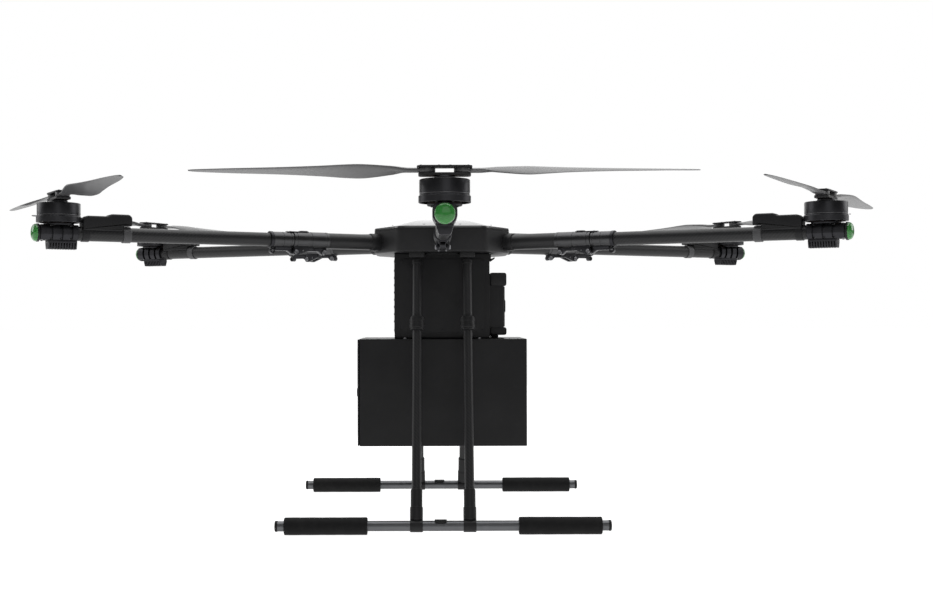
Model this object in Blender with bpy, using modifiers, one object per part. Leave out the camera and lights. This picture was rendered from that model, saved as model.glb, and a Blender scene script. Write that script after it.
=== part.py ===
"""Folding hexacopter drone with a cargo box, modelled in metres, +Z up.

The origin is on the ground, under the middle of the hull. The nose points along -Y.
Six arms leave the hull every 60 degrees and fold down, each propeller's two blades fold on
their hub, the battery slides out along +X, and the cargo box has a door on its -X side.
"""

import math

import bmesh
import bpy
import numpy as np
from mathutils import Matrix, Vector

# Driving dimensions, in metres.
MOTOR_CIRCLE = 0.900  # hull centre to each motor's axis
ARM_HEIGHT = 0.632  # axis of the arm tubes above the ground
ARM_NAMES = ("front", "front_right", "rear_right", "rear", "rear_left", "front_left")
FIRST_ARM = -90.0  # bearing of the front arm, in degrees from +X
LEFT_HANDED = ("front_right", "front_left", "rear")  # propellers that turn clockwise from above

ROOT_TUBE_R = 0.018
ROOT_SLEEVE_R = 0.019
TUBE_R = 0.015
SLEEVE_R = 0.0177
HINGE_AT = Vector((0.3815, 0.0, -0.0265))  # fold pin, from the hull's axis and the arm's axis
PARTING = 0.3865  # where the two fold sleeves meet
GAP = 0.0003  # running gap between touching pieces
ROUND = 12  # sides of a tube or sleeve
SMALL_ROUND = 8  # sides of a pin or small boss

HULL_INRADIUS = 0.170
HULL_HALF_WIDTH = 0.157
HULL_FLOOR = 0.607
HULL_RIM = 0.661
LID_TOP = 0.6905
WALL = 0.004

LEG_X = 0.0566
LEG_TOP_Y = 0.141
LEG_TOP_Z = 0.591
LEG_R = 0.010
SKID_Y = 0.337
SKID_R = 0.011
SKID_HALF = 0.356
FOAM_R = 0.0187
SKID_Z = FOAM_R
FOAM_FROM = 0.160
FOAM_TO = 0.336
FOAM_SIDES = 20

BAY_HALF = Vector((0.109, 0.110, 0.0))
BAY_TOP = HULL_FLOOR - GAP
BOX_HALF_X = 0.193
BOX_HALF_Y = 0.125
BOX_BOTTOM = 0.1655
BOX_TOP = 0.410
BAY_BOTTOM = BOX_TOP + GAP
DOOR_WALL = 0.004
DOOR_HINGE = Vector((-BOX_HALF_X, BOX_HALF_Y + 0.0035, 0.0))
KNUCKLE_R = 0.0045
DOOR_KNUCKLE = (0.230, 0.345)

PIVOT_OFFSET = 0.030  # blade pivots from the motor's axis
BLADE_TIP = 0.432
PROP_PLANE = 0.07625
ROOT_THICK = 0.0085
BELL_R = 0.043

COLOURS = {
    "black_shell": ((0.022, 0.022, 0.024), 0.45, 0.0),
    "carbon": ((0.030, 0.031, 0.034), 0.32, 0.0),
    "anodised": ((0.055, 0.056, 0.060), 0.38, 0.9),
    "fold_alloy": ((0.16, 0.165, 0.17), 0.42, 0.9),
    "blade": ((0.075, 0.077, 0.080), 0.35, 0.0),
    "lamp": ((0.03, 0.42, 0.10), 0.12, 0.0),
    "foam": ((0.018, 0.018, 0.018), 0.95, 0.0),
    "skid_tube": ((0.20, 0.20, 0.21), 0.30, 0.8),
    "circuit": ((0.02, 0.09, 0.05), 0.5, 0.0),
}


# ---------------------------------------------------------------- scene, materials, helpers
def clear_scene():
    for obj in list(bpy.data.objects):
        bpy.data.objects.remove(obj, do_unlink=True)


def new_collection(name):
    collection = bpy.data.collections.new(name)
    bpy.context.scene.collection.children.link(collection)
    return collection


def make_material(name):
    colour, roughness, metallic = COLOURS[name]
    material = bpy.data.materials.new(name)
    material.use_nodes = True
    shader = material.node_tree.nodes["Principled BSDF"]
    shader.inputs["Base Color"].default_value = (*colour, 1.0)
    shader.inputs["Roughness"].default_value = roughness
    shader.inputs["Metallic"].default_value = metallic
    material.diffuse_color = (*colour, 1.0)
    return material


clear_scene()
PARTS = new_collection("hexacopter_drone")
CUTTERS = new_collection("cutters")
MATERIALS = {name: make_material(name) for name in COLOURS}


def scratch(name, mesh):
    """A hidden working object, for a modifier to read or to be baked."""
    obj = bpy.data.objects.new(name, mesh)
    CUTTERS.objects.link(obj)
    obj.hide_render = True
    obj.display_type = "WIRE"
    return obj


def baked(obj):
    """The object's mesh with its modifiers applied and its loose caps welded; the object goes."""
    bpy.context.view_layer.update()
    graph = bpy.context.evaluated_depsgraph_get()
    mesh = bpy.data.meshes.new_from_object(obj.evaluated_get(graph))
    mesh.transform(obj.matrix_world)
    bpy.data.objects.remove(obj, do_unlink=True)
    work = bmesh.new()
    work.from_mesh(mesh)
    bmesh.ops.remove_doubles(work, verts=work.verts, dist=0.000001)
    work.to_mesh(mesh)
    work.free()
    return mesh


def combine(base, others, operation="UNION"):
    """One mesh: base joined with, or cut by, each of the other meshes in turn."""
    host = scratch("host", base)
    tools = []
    for mesh in others:
        tool = scratch("tool", mesh)
        tools.append(tool)
        modifier = host.modifiers.new("join", "BOOLEAN")
        modifier.operation = operation
        modifier.object = tool
        modifier.solver = "EXACT"
    result = baked(host)
    for tool in tools:
        bpy.data.objects.remove(tool, do_unlink=True)
    return result


def block(low, high, edge=0.0):
    """A box between two corners, with its edges chamfered by edge."""
    low, high = Vector(low), Vector(high)
    work = bmesh.new()
    bmesh.ops.create_cube(work, size=1.0)
    bmesh.ops.scale(work, vec=high - low, verts=work.verts)
    bmesh.ops.translate(work, vec=(low + high) / 2, verts=work.verts)
    if edge:
        bmesh.ops.bevel(
            work, geom=work.edges[:], offset=edge, segments=1, affect="EDGES", profile=0.5
        )
    mesh = bpy.data.meshes.new("block")
    work.to_mesh(mesh)
    work.free()
    return mesh


def rod(start, end, radius, sides=24, end_radius=None):
    """A round bar between two points, or a cone when end_radius is given."""
    start, end = Vector(start), Vector(end)
    along = end - start
    work = bmesh.new()
    bmesh.ops.create_cone(
        work,
        cap_ends=True,
        segments=sides,
        radius1=radius,
        radius2=radius if end_radius is None else end_radius,
        depth=along.length,
        matrix=Matrix.Rotation(math.pi / sides, 4, "Z"),
    )
    turn = Vector((0, 0, 1)).rotation_difference(along).to_matrix().to_4x4()
    work.transform(Matrix.Translation((start + end) / 2) @ turn)
    mesh = bpy.data.meshes.new("rod")
    work.to_mesh(mesh)
    work.free()
    return mesh


def turned(profile, steps, close=False):
    """A solid of revolution about +Z: profile runs down its outer side, from top to bottom."""
    points = [(x, 0.0, z) for x, z in profile]
    links = [(i, i + 1) for i in range(len(points) - 1)]
    if close:
        links.append((len(points) - 1, 0))
    mesh = bpy.data.meshes.new("turned")
    mesh.from_pydata(points, links, [])
    obj = scratch("turned", mesh)
    screw = obj.modifiers.new("turn", "SCREW")
    screw.steps = steps
    screw.render_steps = steps
    screw.use_merge_vertices = True
    screw.merge_threshold = 0.00001
    return baked(obj)


def plate(outline, low, high, place=Matrix()):
    """A flat outline in X and Y, from z low to z high, then moved by the matrix place."""
    curve = bpy.data.curves.new("plate", "CURVE")
    curve.dimensions = "2D"
    curve.fill_mode = "BOTH"
    curve.extrude = (high - low) / 2
    spline = curve.splines.new("POLY")
    spline.points.add(len(outline) - 1)
    for point, (x, y) in zip(spline.points, outline):
        point.co = (x, y, 0.0, 1.0)
    spline.use_cyclic_u = True
    obj = scratch("plate", curve)
    obj.matrix_world = place @ Matrix.Translation((0, 0, (low + high) / 2))
    return baked(obj)


def rounded(corners, radius, steps=4):
    """The polygon's outline with each corner replaced by an arc of that radius."""
    outline = []
    corners = [Vector(c) for c in corners]
    for i, corner in enumerate(corners):
        back = (corners[i - 1] - corner).normalized()
        ahead = (corners[(i + 1) % len(corners)] - corner).normalized()
        half = back.angle(ahead) / 2
        middle = corner + (back + ahead).normalized() * radius / math.sin(half)
        first = corner + back * radius / math.tan(half) - middle
        last = corner + ahead * radius / math.tan(half) - middle
        sweep = first.angle_signed(last)
        for k in range(steps + 1):
            turn = -sweep * k / steps
            c, s = math.cos(turn), math.sin(turn)
            outline.append((middle.x + c * first.x - s * first.y, middle.y + s * first.x + c * first.y))
    return outline


UPRIGHT = Matrix.Rotation(math.pi / 2, 4, "X")  # turns an X, Y outline into an X, Z one


def side_plate(outline, y_low, y_high):
    """A flat outline in X and Z, from y_low to y_high."""
    return plate(outline, -y_high, -y_low, UPRIGHT)


def add_part(name, mesh, material, parent=None, place=Matrix()):
    """A finished part in the drone's collection; place is its matrix under its parent."""
    obj = bpy.data.objects.new(name, mesh)
    PARTS.objects.link(obj)
    if not mesh.materials:
        mesh.materials.append(MATERIALS[material])
        mesh.shade_smooth()
        mesh.set_sharp_from_angle(angle=math.radians(32))
    obj.parent = parent
    obj.matrix_basis = place
    return obj


def add_axis(name, parent=None, place=Matrix()):
    """An empty on a joint's axis, which carries what turns or slides there."""
    empty = bpy.data.objects.new(name, None)
    PARTS.objects.link(empty)
    empty.empty_display_size = 0.03
    empty.parent = parent
    empty.matrix_basis = place
    return empty


def moved(mesh, offset):
    """A copy of the mesh, shifted."""
    copy = mesh.copy()
    copy.transform(Matrix.Translation(offset))
    return copy


# ---------------------------------------------------------------- hull
def hull_corners(inset=0.0):
    """The hull's plan: six flats that face the arms, cut short by two flats at each side."""
    flat = HULL_INRADIUS - inset
    side = HULL_HALF_WIDTH - inset
    half_front = flat * math.tan(math.radians(30))
    side_y = (flat - side * math.cos(math.radians(30))) / math.sin(math.radians(30))
    quarter = [(side, side_y), (half_front, flat)]
    left = [(-x, y) for x, y in reversed(quarter)]
    top = quarter + left
    return top + [(x, -y) for x, y in reversed(top)]


def hull_outline(inset=0.0):
    return rounded(hull_corners(inset), 0.014 - inset / 2, 1)


def make_hull_base():
    """An open tray with six arm collars, four leg blocks and a hook for the battery strap."""
    shell = plate(hull_outline(), HULL_FLOOR, HULL_RIM)
    hollow = plate(hull_outline(WALL), HULL_FLOOR + WALL, HULL_RIM + 0.01)
    added = []
    bores = []
    for i in range(6):
        bearing = Matrix.Rotation(math.radians(FIRST_ARM + 60 * i), 4, "Z")
        collar = rod((0.150, 0, ARM_HEIGHT), (0.192, 0, ARM_HEIGHT), 0.0205, ROUND)
        bore = rod((0.120, 0, ARM_HEIGHT), (0.200, 0, ARM_HEIGHT), ROOT_TUBE_R + GAP, ROUND)
        collar.transform(bearing)
        bore.transform(bearing)
        added.append(collar)
        bores.append(bore)
    for x in (-LEG_X, LEG_X):
        for y in (-LEG_TOP_Y, LEG_TOP_Y):
            low = (x - 0.0175, y - 0.0175, HULL_FLOOR - 0.012)
            high = (x + 0.0175, y + 0.0175, HULL_FLOOR + 0.001)
            added.append(block(low, high))
    tray = combine(shell, [hollow], "DIFFERENCE")
    hook = side_plate([(0.112, 0.609), (0.126, 0.609), (0.126, 0.598), (0.115, 0.590), (0.112, 0.594)],
                      -0.006, 0.006)
    tray = combine(tray, added + [hook])
    return combine(tray, bores, "DIFFERENCE")


def make_hull_lid():
    """A thin dome on the hull's outline: its outer skin from rim to pad, then its inner skin back."""
    bottom = HULL_RIM + GAP
    pad = 0.18
    step = 0.004
    outer = [(1.0, bottom)]
    for ring in (0.985, 0.80, 0.50, pad):
        dome = (LID_TOP - bottom - step) * (1 - ring**2) / (1 - pad**2)
        outer.append((ring, bottom + step + dome))
    inner = [(ring, z - 0.003) for ring, z in outer[2:]]
    inner = [(0.975, bottom)] + inner
    rings = outer + inner[::-1]
    outline = hull_outline()
    count = len(outline)
    points = [(x * ring, y * ring, z) for ring, z in rings for x, y in outline]
    faces = []
    for k in range(len(rings)):
        if k == len(outer) - 1:
            continue
        after = (k + 1) % len(rings)
        for i in range(count):
            j = (i + 1) % count
            faces.append((k * count + i, k * count + j, after * count + j, after * count + i))
    faces.append(tuple(range((len(outer) - 1) * count, len(outer) * count)))
    faces.append(tuple(reversed(range(len(outer) * count, (len(outer) + 1) * count))))
    mesh = bpy.data.meshes.new("lid")
    mesh.from_pydata(points, [], faces)
    return mesh


def make_hull():
    add_part("hull_base", make_hull_base(), "black_shell")
    add_part("hull_lid", make_hull_lid(), "black_shell")
    floor = HULL_FLOOR + WALL + GAP
    board = block((-0.070, -0.070, floor), (0.070, 0.070, floor + 0.006))
    add_part("power_board", board, "circuit")
    case = block((-0.045, -0.033, floor + 0.0063), (0.045, 0.033, floor + 0.028), 0.003)
    add_part("flight_controller", case, "black_shell")


# ---------------------------------------------------------------- equipment bay, battery, cargo box
def make_bay():
    """A thin-walled box under the hull, open on +X, where the battery goes in."""
    half = BAY_HALF
    shell = block((-half.x, -half.y, BAY_BOTTOM), (half.x, half.y, BAY_TOP))
    hollow = block((-half.x + 0.003, -half.y + 0.003, BAY_BOTTOM + 0.003),
                   (half.x + 0.01, half.y - 0.003, BAY_TOP - 0.003))
    add_part("equipment_bay", combine(shell, [hollow], "DIFFERENCE"), "black_shell")


def make_battery():
    """The pack's case inside the bay, with two thick lips and a grip at its outer end."""
    case = block((-0.085, -0.085, 0.4180), (0.143, 0.085, 0.5600))
    upper = block((0.1100, -0.088, 0.5311), (0.149, 0.088, 0.5620), 0.002)
    lower = block((0.1100, -0.088, 0.4180), (0.149, 0.088, 0.4362), 0.002)
    foot = block((0.116, -0.060, BAY_BOTTOM), (0.131, 0.060, 0.4200))
    grip = block((0.140, -0.045, 0.470), (0.149, 0.045, 0.500))
    axis = add_axis("battery_slide_axis", place=Matrix.Translation((0, 0, 0.49)))
    pack = moved(combine(case, [upper, lower, foot, grip]), (0, 0, -0.49))
    add_part("battery_pack", pack, "black_shell", axis)


def make_cargo_box():
    """A box open on -X, whose door turns on a pin in two knuckles at the rear corner."""
    open_x = -BOX_HALF_X + DOOR_WALL + 0.0005
    shell = block((open_x, -BOX_HALF_Y, BOX_BOTTOM), (BOX_HALF_X, BOX_HALF_Y, BOX_TOP))
    hollow = block((open_x - 0.01, -BOX_HALF_Y + WALL, BOX_BOTTOM + WALL),
                   (BOX_HALF_X - WALL, BOX_HALF_Y - WALL, BOX_TOP - WALL))
    box = combine(shell, [hollow], "DIFFERENCE")
    low, high = DOOR_KNUCKLE
    at = DOOR_HINGE
    pieces = [
        rod((at.x, at.y, 0.190), (at.x, at.y, low - GAP), KNUCKLE_R, SMALL_ROUND),
        rod((at.x, at.y, high + GAP), (at.x, at.y, 0.385), KNUCKLE_R, SMALL_ROUND),
        rod((at.x, at.y, 0.195), (at.x, at.y, 0.380), 0.002, SMALL_ROUND),
    ]
    # Each fixed knuckle has a leaf on the box's rear wall, and the door's has one on its face.
    for bottom, top in ((0.190, low - GAP), (high + GAP, 0.385)):
        pieces.append(block((at.x, BOX_HALF_Y - 0.0005, bottom), (at.x + 0.028, at.y - 0.001, top)))
    add_part("payload_box", combine(box, pieces), "black_shell")

    panel = block((-BOX_HALF_X, -BOX_HALF_Y, BOX_BOTTOM + 0.001),
                  (-BOX_HALF_X + DOOR_WALL, BOX_HALF_Y - 0.0015, BOX_TOP - 0.001))
    leaf = block((at.x - 0.0025, at.y - 0.028, low), (at.x + 0.0005, at.y, high))
    barrel = rod((at.x, at.y, low), (at.x, at.y, high), KNUCKLE_R, SMALL_ROUND)
    knob = rod((-BOX_HALF_X + 0.001, -0.105, 0.288), (-BOX_HALF_X - 0.0025, -0.105, 0.288), 0.010, SMALL_ROUND)
    bore = rod((at.x, at.y, low - 0.01), (at.x, at.y, high + 0.01), 0.0023, SMALL_ROUND)
    door = combine(combine(panel, [leaf, barrel, knob]), [bore], "DIFFERENCE")
    axis = add_axis("payload_door_axis", place=Matrix.Translation(at))
    add_part("payload_door", moved(door, -at), "black_shell", axis)


# ---------------------------------------------------------------- landing gear
def make_leg_mesh(side_x, side_y):
    """A splayed tube with a clamp half-way, and a tee at its foot that grips the skid."""
    top = Vector((side_x * LEG_X, side_y * LEG_TOP_Y, LEG_TOP_Z))
    foot = Vector((side_x * LEG_X, side_y * SKID_Y, SKID_Z))
    along = (foot - top).normalized()
    pieces = []
    clamp = top + along * ((LEG_TOP_Z - 0.445) / -along.z)
    pieces.append(rod(clamp - along * 0.0155, clamp + along * 0.0155, 0.0162, ROUND))
    pieces.append(rod(foot - along * 0.070, foot, 0.0125, ROUND))
    pieces.append(rod(foot - Vector((0.019, 0, 0)), foot + Vector((0.019, 0, 0)), 0.0152, ROUND))
    leg = combine(rod(top, foot, LEG_R, 12), pieces)
    bore = rod(foot - Vector((0.05, 0, 0)), foot + Vector((0.05, 0, 0)), SKID_R + GAP, ROUND)
    return combine(leg, [bore], "DIFFERENCE")


def make_landing_gear():
    # The sleeve's facets stand off its axis by exactly this height, so it rests on a flat.
    corner_r = SKID_Z / math.cos(math.pi / FOAM_SIDES)
    half = (FOAM_TO - FOAM_FROM) / 2
    ring = [(corner_r - 0.002, half), (corner_r, half - 0.002), (corner_r, -half + 0.002),
            (corner_r - 0.002, -half), (SKID_R + GAP, -half), (SKID_R + GAP, half)]
    foam = turned(ring, FOAM_SIDES, close=True)
    foam.transform(Matrix.Rotation(math.pi / FOAM_SIDES, 4, "Z"))
    foam.transform(Matrix.Rotation(math.pi / 2, 4, "Y"))
    tube = rod((-SKID_HALF, 0, 0), (SKID_HALF, 0, 0), SKID_R, ROUND)
    for y, end in ((-1, "front"), (1, "rear")):
        place = Matrix.Translation((0, y * SKID_Y, SKID_Z))
        skid = add_part(f"{end}_skid_tube", tube, "skid_tube", place=place)
        for x, side in ((-1, "left"), (1, "right")):
            name = f"{end}_{side}"
            middle = Matrix.Translation((x * (FOAM_FROM + FOAM_TO) / 2, 0, 0))
            add_part(f"{name}_foam_sleeve", foam, "foam", skid, middle)
            add_part(f"{name}_leg", make_leg_mesh(x, y), "carbon")


# ---------------------------------------------------------------- arms
# In each arm's own axes, x runs outwards from the hull's centre and z up from the arm's axis.
def make_arm_root():
    """The fixed stub: tube, inner fold sleeve, a lug plate with its knob, and the fold pin's fork."""
    pin = HINGE_AT
    pieces = [
        rod((0.300, 0, 0), (PARTING - GAP, 0, 0), ROOT_SLEEVE_R, ROUND),
        rod((0.310, -0.010, pin.z), (0.310, 0.010, pin.z), 0.006, SMALL_ROUND),
        rod((pin.x, -0.0165, pin.z), (pin.x, 0.0165, pin.z), 0.004, SMALL_ROUND),
    ]
    lug = [(0.3042, -0.0120), (0.3042, -0.0320), (0.3160, -0.0320), (0.3235, -0.0245), (0.3715, -0.0245),
           (0.3715, -0.0120)]
    pieces.append(side_plate(lug, -0.0065, 0.0065))
    cheek = [(0.3500, -0.0100), (0.3500, -0.0235), (0.3770, -0.0335), (0.3850, -0.0335), (0.3885, -0.0305),
             (0.3885, -0.0225), (0.3858, -0.0195), (0.3858, -0.0100)]
    for side in (-1, 1):
        near, far = sorted((side * 0.0070, side * 0.0135))
        pieces.append(side_plate(cheek, near, far))
    return combine(rod((0.155, 0, 0), (0.310, 0, 0), ROOT_TUBE_R, ROUND), pieces)


def make_arm_outer():
    """The folding half: outer sleeve with its knuckle on the pin, end ring, tube and saddle cover."""
    pin = HINGE_AT
    pieces = [
        rod((PARTING + GAP, 0, 0), (0.4360, 0, 0), SLEEVE_R, ROUND),
        rod((0.4335, 0, 0), (0.4415, 0, 0), 0.0187, ROUND),
        rod((0.7530, 0, 0), (0.7700, 0, 0), 0.0172, ROUND),
        rod((0.4345, -0.006, -0.025), (0.4345, 0.006, -0.025), 0.006, SMALL_ROUND),
        rod((pin.x, -0.0065, pin.z), (pin.x, 0.0065, pin.z), 0.0068, SMALL_ROUND),
    ]
    knuckle = [(0.3815, -0.0331), (0.3900, -0.0310), (0.3990, -0.0245), (0.4300, -0.0245), (0.4300, -0.0125),
               (0.3872, -0.0125), (0.3872, -0.0200), (0.3815, -0.0198)]
    pieces.append(side_plate(knuckle, -0.0062, 0.0062))
    cover = [(0.7520, 0.006), (0.7520, 0.036), (0.7580, 0.0425), (0.7990, 0.0425), (0.8070, 0.0370),
             (0.8460, 0.0370), (0.8550, 0.0300), (0.8550, 0.006)]
    pieces.append(side_plate(cover, -0.0170, 0.0170))
    arm = combine(rod((0.400, 0, 0), (0.8637, 0, 0), TUBE_R, ROUND), pieces)
    bore = rod((pin.x, -0.03, pin.z), (pin.x, 0.03, pin.z), 0.0044, SMALL_ROUND)
    return combine(arm, [bore], "DIFFERENCE")


def make_motor_mount():
    """Clamp block, finned speed-controller block below it, and the motor's fixed stator above."""
    middle = MOTOR_CIRCLE
    body = block((0.864, -0.021, -0.015), (0.940, 0.021, 0.0168))
    fins = block((0.866, -0.015, -0.033), (0.924, 0.015, -0.014), 0.003)
    top = rod((middle, 0, 0.0165), (middle, 0, 0.0200), 0.030, ROUND)
    stator = turned([(0, 0.0545), (0.034, 0.0545), (0.036, 0.0525), (0.036, 0.0240), (0.029, 0.0195),
                     (0, 0.0195)], ROUND)
    stator.transform(Matrix.Translation((middle, 0, 0)))
    mount = combine(body, [fins, top, stator])
    bore = rod((middle, 0, 0.006), (middle, 0, 0.070), 0.0044, SMALL_ROUND)
    return combine(mount, [bore], "DIFFERENCE")


def make_lamp():
    """A round beacon on the arm's end: a short collar and a domed lens."""
    radius, start, end = 0.0185, 0.9403, 0.955
    collar = 0.9455
    dome = [(0.0, end)]
    for k in range(1, 4):
        turn = math.radians(90 * k / 3)
        dome.append((radius * math.sin(turn), collar + (end - collar) * math.cos(turn)))
    lamp = turned(dome + [(radius, start), (0.0, start)], ROUND)
    lamp.transform(Matrix.Rotation(math.pi / 2, 4, "Y"))
    return lamp


# ---------------------------------------------------------------- motors and propellers
# A rotor's own axes: z up from the arm's axis height, at the motor; x outwards along the arm.
def make_rotor():
    """Motor bell with its shaft, and two hub plates held apart by the blades' pivot bolts."""
    bell = [(0, 0.0668), (0.018, 0.0668), (0.018, 0.0608), (BELL_R, 0.0608),
            (BELL_R, 0.0340), (0.0445, 0.0330), (0.0445, 0.0210), (0.0395, 0.0210),
            (0.0395, 0.0575), (0.0040, 0.0575), (0.0040, 0.0080), (0, 0.0080)]
    half_x, half_y = 0.0155, 0.0555
    outline = rounded([(half_x, -half_y), (half_x, half_y), (-half_x, half_y), (-half_x, -half_y)],
                      0.008, 1)
    low = PROP_PLANE - ROOT_THICK / 2 - GAP
    high = PROP_PLANE + ROOT_THICK / 2 + GAP
    pieces = [plate(outline, 0.0664, low), plate(outline, high, 0.0840)]
    for side in (-1, 1):
        at = side * PIVOT_OFFSET
        pieces.append(rod((0, at, low - 0.001), (0, at, 0.0850), 0.0032, SMALL_ROUND))
    return combine(turned(bell, 14), pieces)


# Blade stations: distance from the motor's axis, chord, thickness, pitch in degrees.
BLADE_STATIONS = (
    (0.036, 0.0200, 0.0080, 0.0),
    (0.058, 0.0240, 0.0080, 0.0),
    (0.090, 0.0360, 0.0078, 16.0),
    (0.135, 0.0540, 0.0067, 22.5),
    (0.170, 0.0600, 0.0060, 16.5),
    (0.210, 0.0540, 0.0052, 12.5),
    (0.280, 0.0420, 0.0042, 10.0),
    (0.370, 0.0290, 0.0030, 8.5),
    (0.422, 0.0170, 0.0023, 7.0),
    (BLADE_TIP, 0.0070, 0.0018, 7.0),
)
TRAIL_SHARE = 0.12  # how far a chord's middle lies behind the pivot's line, per metre over 20 mm
SECTION_POINTS = 6


def make_blade(hand):
    """A twisted blade along +Y from its pivot, its leading edge high on the -X side for hand 1."""
    turns = np.arange(SECTION_POINTS) * 2 * np.pi / SECTION_POINTS
    rings = []
    for radius, chord, thick, pitch in BLADE_STATIONS:
        along = 0.5 * chord * np.cos(turns) - TRAIL_SHARE * (chord - 0.020)
        above = 0.5 * thick * np.sin(turns) * (1 + 0.3 * np.cos(turns))
        camber = 0.035 * chord * np.sin(math.radians(min(pitch, 18.0)) * 5) * (1 - np.cos(turns) ** 2)
        angle = math.radians(pitch)
        lead = along * math.cos(angle) - (above + camber) * math.sin(angle)
        rise = along * math.sin(angle) + (above + camber) * math.cos(angle)
        rings.append(np.column_stack([-hand * lead, np.full(SECTION_POINTS, radius - PIVOT_OFFSET), rise]))
    points = np.concatenate(rings)
    count = SECTION_POINTS
    faces = []
    for k in range(len(rings) - 1):
        for i in range(count):
            j = (i + 1) % count
            faces.append((k * count + i, k * count + j, (k + 1) * count + j, (k + 1) * count + i))
    faces.append(tuple(range(count)))
    faces.append(tuple((len(rings) - 1) * count + i for i in range(count)))
    mesh = bpy.data.meshes.new("blade")
    mesh.from_pydata(points.tolist(), [], faces)
    work = bmesh.new()
    work.from_mesh(mesh)
    bmesh.ops.recalc_face_normals(work, faces=work.faces)
    work.to_mesh(mesh)
    work.free()
    boss = rod((0, 0, -ROOT_THICK / 2), (0, 0, ROOT_THICK / 2), 0.0145, ROUND)
    eye = rod((0, 0, -0.02), (0, 0, 0.02), 0.0037, SMALL_ROUND)
    return combine(combine(boss, [mesh]), [eye], "DIFFERENCE")


# ---------------------------------------------------------------- assembly
def add_arm(name, bearing, meshes):
    """One arm: fixed root, folding half, motor mount, lamp, rotor and two folding blades."""
    hub = Matrix.Translation((0, 0, ARM_HEIGHT)) @ Matrix.Rotation(bearing, 4, "Z")
    add_part(f"{name}_arm_root", meshes["root"], "fold_alloy", place=hub)
    fold = add_axis(f"{name}_fold_axis", place=hub @ Matrix.Translation(HINGE_AT))
    back = Matrix.Translation(-HINGE_AT)
    add_part(f"{name}_arm", meshes["outer"], "carbon", fold, back)
    add_part(f"{name}_motor_mount", meshes["mount"], "anodised", fold, back)
    add_part(f"{name}_lamp", meshes["lamp"], "lamp", fold, back)
    spin = add_axis(f"{name}_spin_axis", fold, back @ Matrix.Translation((MOTOR_CIRCLE, 0, 0)))
    add_part(f"{name}_rotor", meshes["rotor"], "anodised", spin)
    blade = meshes["blade_cw"] if name in LEFT_HANDED else meshes["blade_ccw"]
    for letter, half_turn in (("a", 0.0), ("b", math.pi)):
        place = Matrix.Rotation(half_turn, 4, "Z") @ Matrix.Translation((0, PIVOT_OFFSET, PROP_PLANE))
        add_part(f"{name}_blade_{letter}", blade, "blade", spin, place)


make_hull()
make_bay()
make_battery()
make_cargo_box()
make_landing_gear()
ARM_MESHES = {
    "root": make_arm_root(),
    "outer": make_arm_outer(),
    "mount": make_motor_mount(),
    "lamp": make_lamp(),
    "rotor": make_rotor(),
    "blade_ccw": make_blade(1),
    "blade_cw": make_blade(-1),
}
for index, arm_name in enumerate(ARM_NAMES):
    add_arm(arm_name, math.radians(FIRST_ARM + 60 * index), ARM_MESHES)
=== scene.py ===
"""Folding hexacopter drone with a cargo box: every finished piece, built round the fixed frame.

The nose points along -Y and +Z is up. Lengths are in metres. The sections follow the drone as it
is put together: studio, hull, bays, landing gear, arms, motors, propellers.
"""

import math

import bmesh
import bpy
import numpy as np
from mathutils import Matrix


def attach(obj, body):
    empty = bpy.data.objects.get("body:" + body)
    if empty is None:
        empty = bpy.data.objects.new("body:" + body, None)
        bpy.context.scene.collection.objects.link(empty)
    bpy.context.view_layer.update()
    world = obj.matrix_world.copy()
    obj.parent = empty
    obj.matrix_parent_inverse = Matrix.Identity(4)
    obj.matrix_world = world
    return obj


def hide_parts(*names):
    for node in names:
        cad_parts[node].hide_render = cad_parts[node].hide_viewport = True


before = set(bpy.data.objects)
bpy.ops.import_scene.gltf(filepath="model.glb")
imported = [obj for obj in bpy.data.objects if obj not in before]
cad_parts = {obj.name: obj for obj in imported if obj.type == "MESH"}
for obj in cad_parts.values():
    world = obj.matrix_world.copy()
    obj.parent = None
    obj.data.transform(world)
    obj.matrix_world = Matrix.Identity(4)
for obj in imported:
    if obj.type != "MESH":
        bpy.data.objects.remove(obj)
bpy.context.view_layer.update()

# ---------------------------------------------------------------- studio
# A white studio: a glowing floor, a broad soft light overhead, a larger one behind that the gloss
# lid mirrors, and weak ones at the sides and in front. The lens is a 50 mm, square to the nose.
camera = bpy.data.objects.new("camera", bpy.data.cameras.new("camera"))
camera.data.lens = 50.4
camera.data.sensor_width = 36.0
camera.data.shift_x = 0.0284
camera.location = (-0.018, -3.102, 0.463)
camera.rotation_euler = (math.radians(90) + 0.0093, 0.0022, -0.0044)
bpy.context.collection.objects.link(camera)
bpy.context.scene.camera = camera
bpy.context.scene.view_settings.view_transform = "Standard"

world = bpy.data.worlds.new("surround")
world.use_nodes = True
bpy.context.scene.world = world
sky = world.node_tree.nodes["Background"]
sky.inputs["Color"].default_value = (1.0, 1.0, 1.0, 1.0)
seen = world.node_tree.nodes.new("ShaderNodeLightPath")
level = world.node_tree.nodes.new("ShaderNodeMapRange")
level.inputs["To Min"].default_value = 0.12
level.inputs["To Max"].default_value = 1.0
world.node_tree.links.new(seen.outputs["Is Camera Ray"], level.inputs["Value"])
world.node_tree.links.new(level.outputs["Result"], sky.inputs["Strength"])

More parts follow.
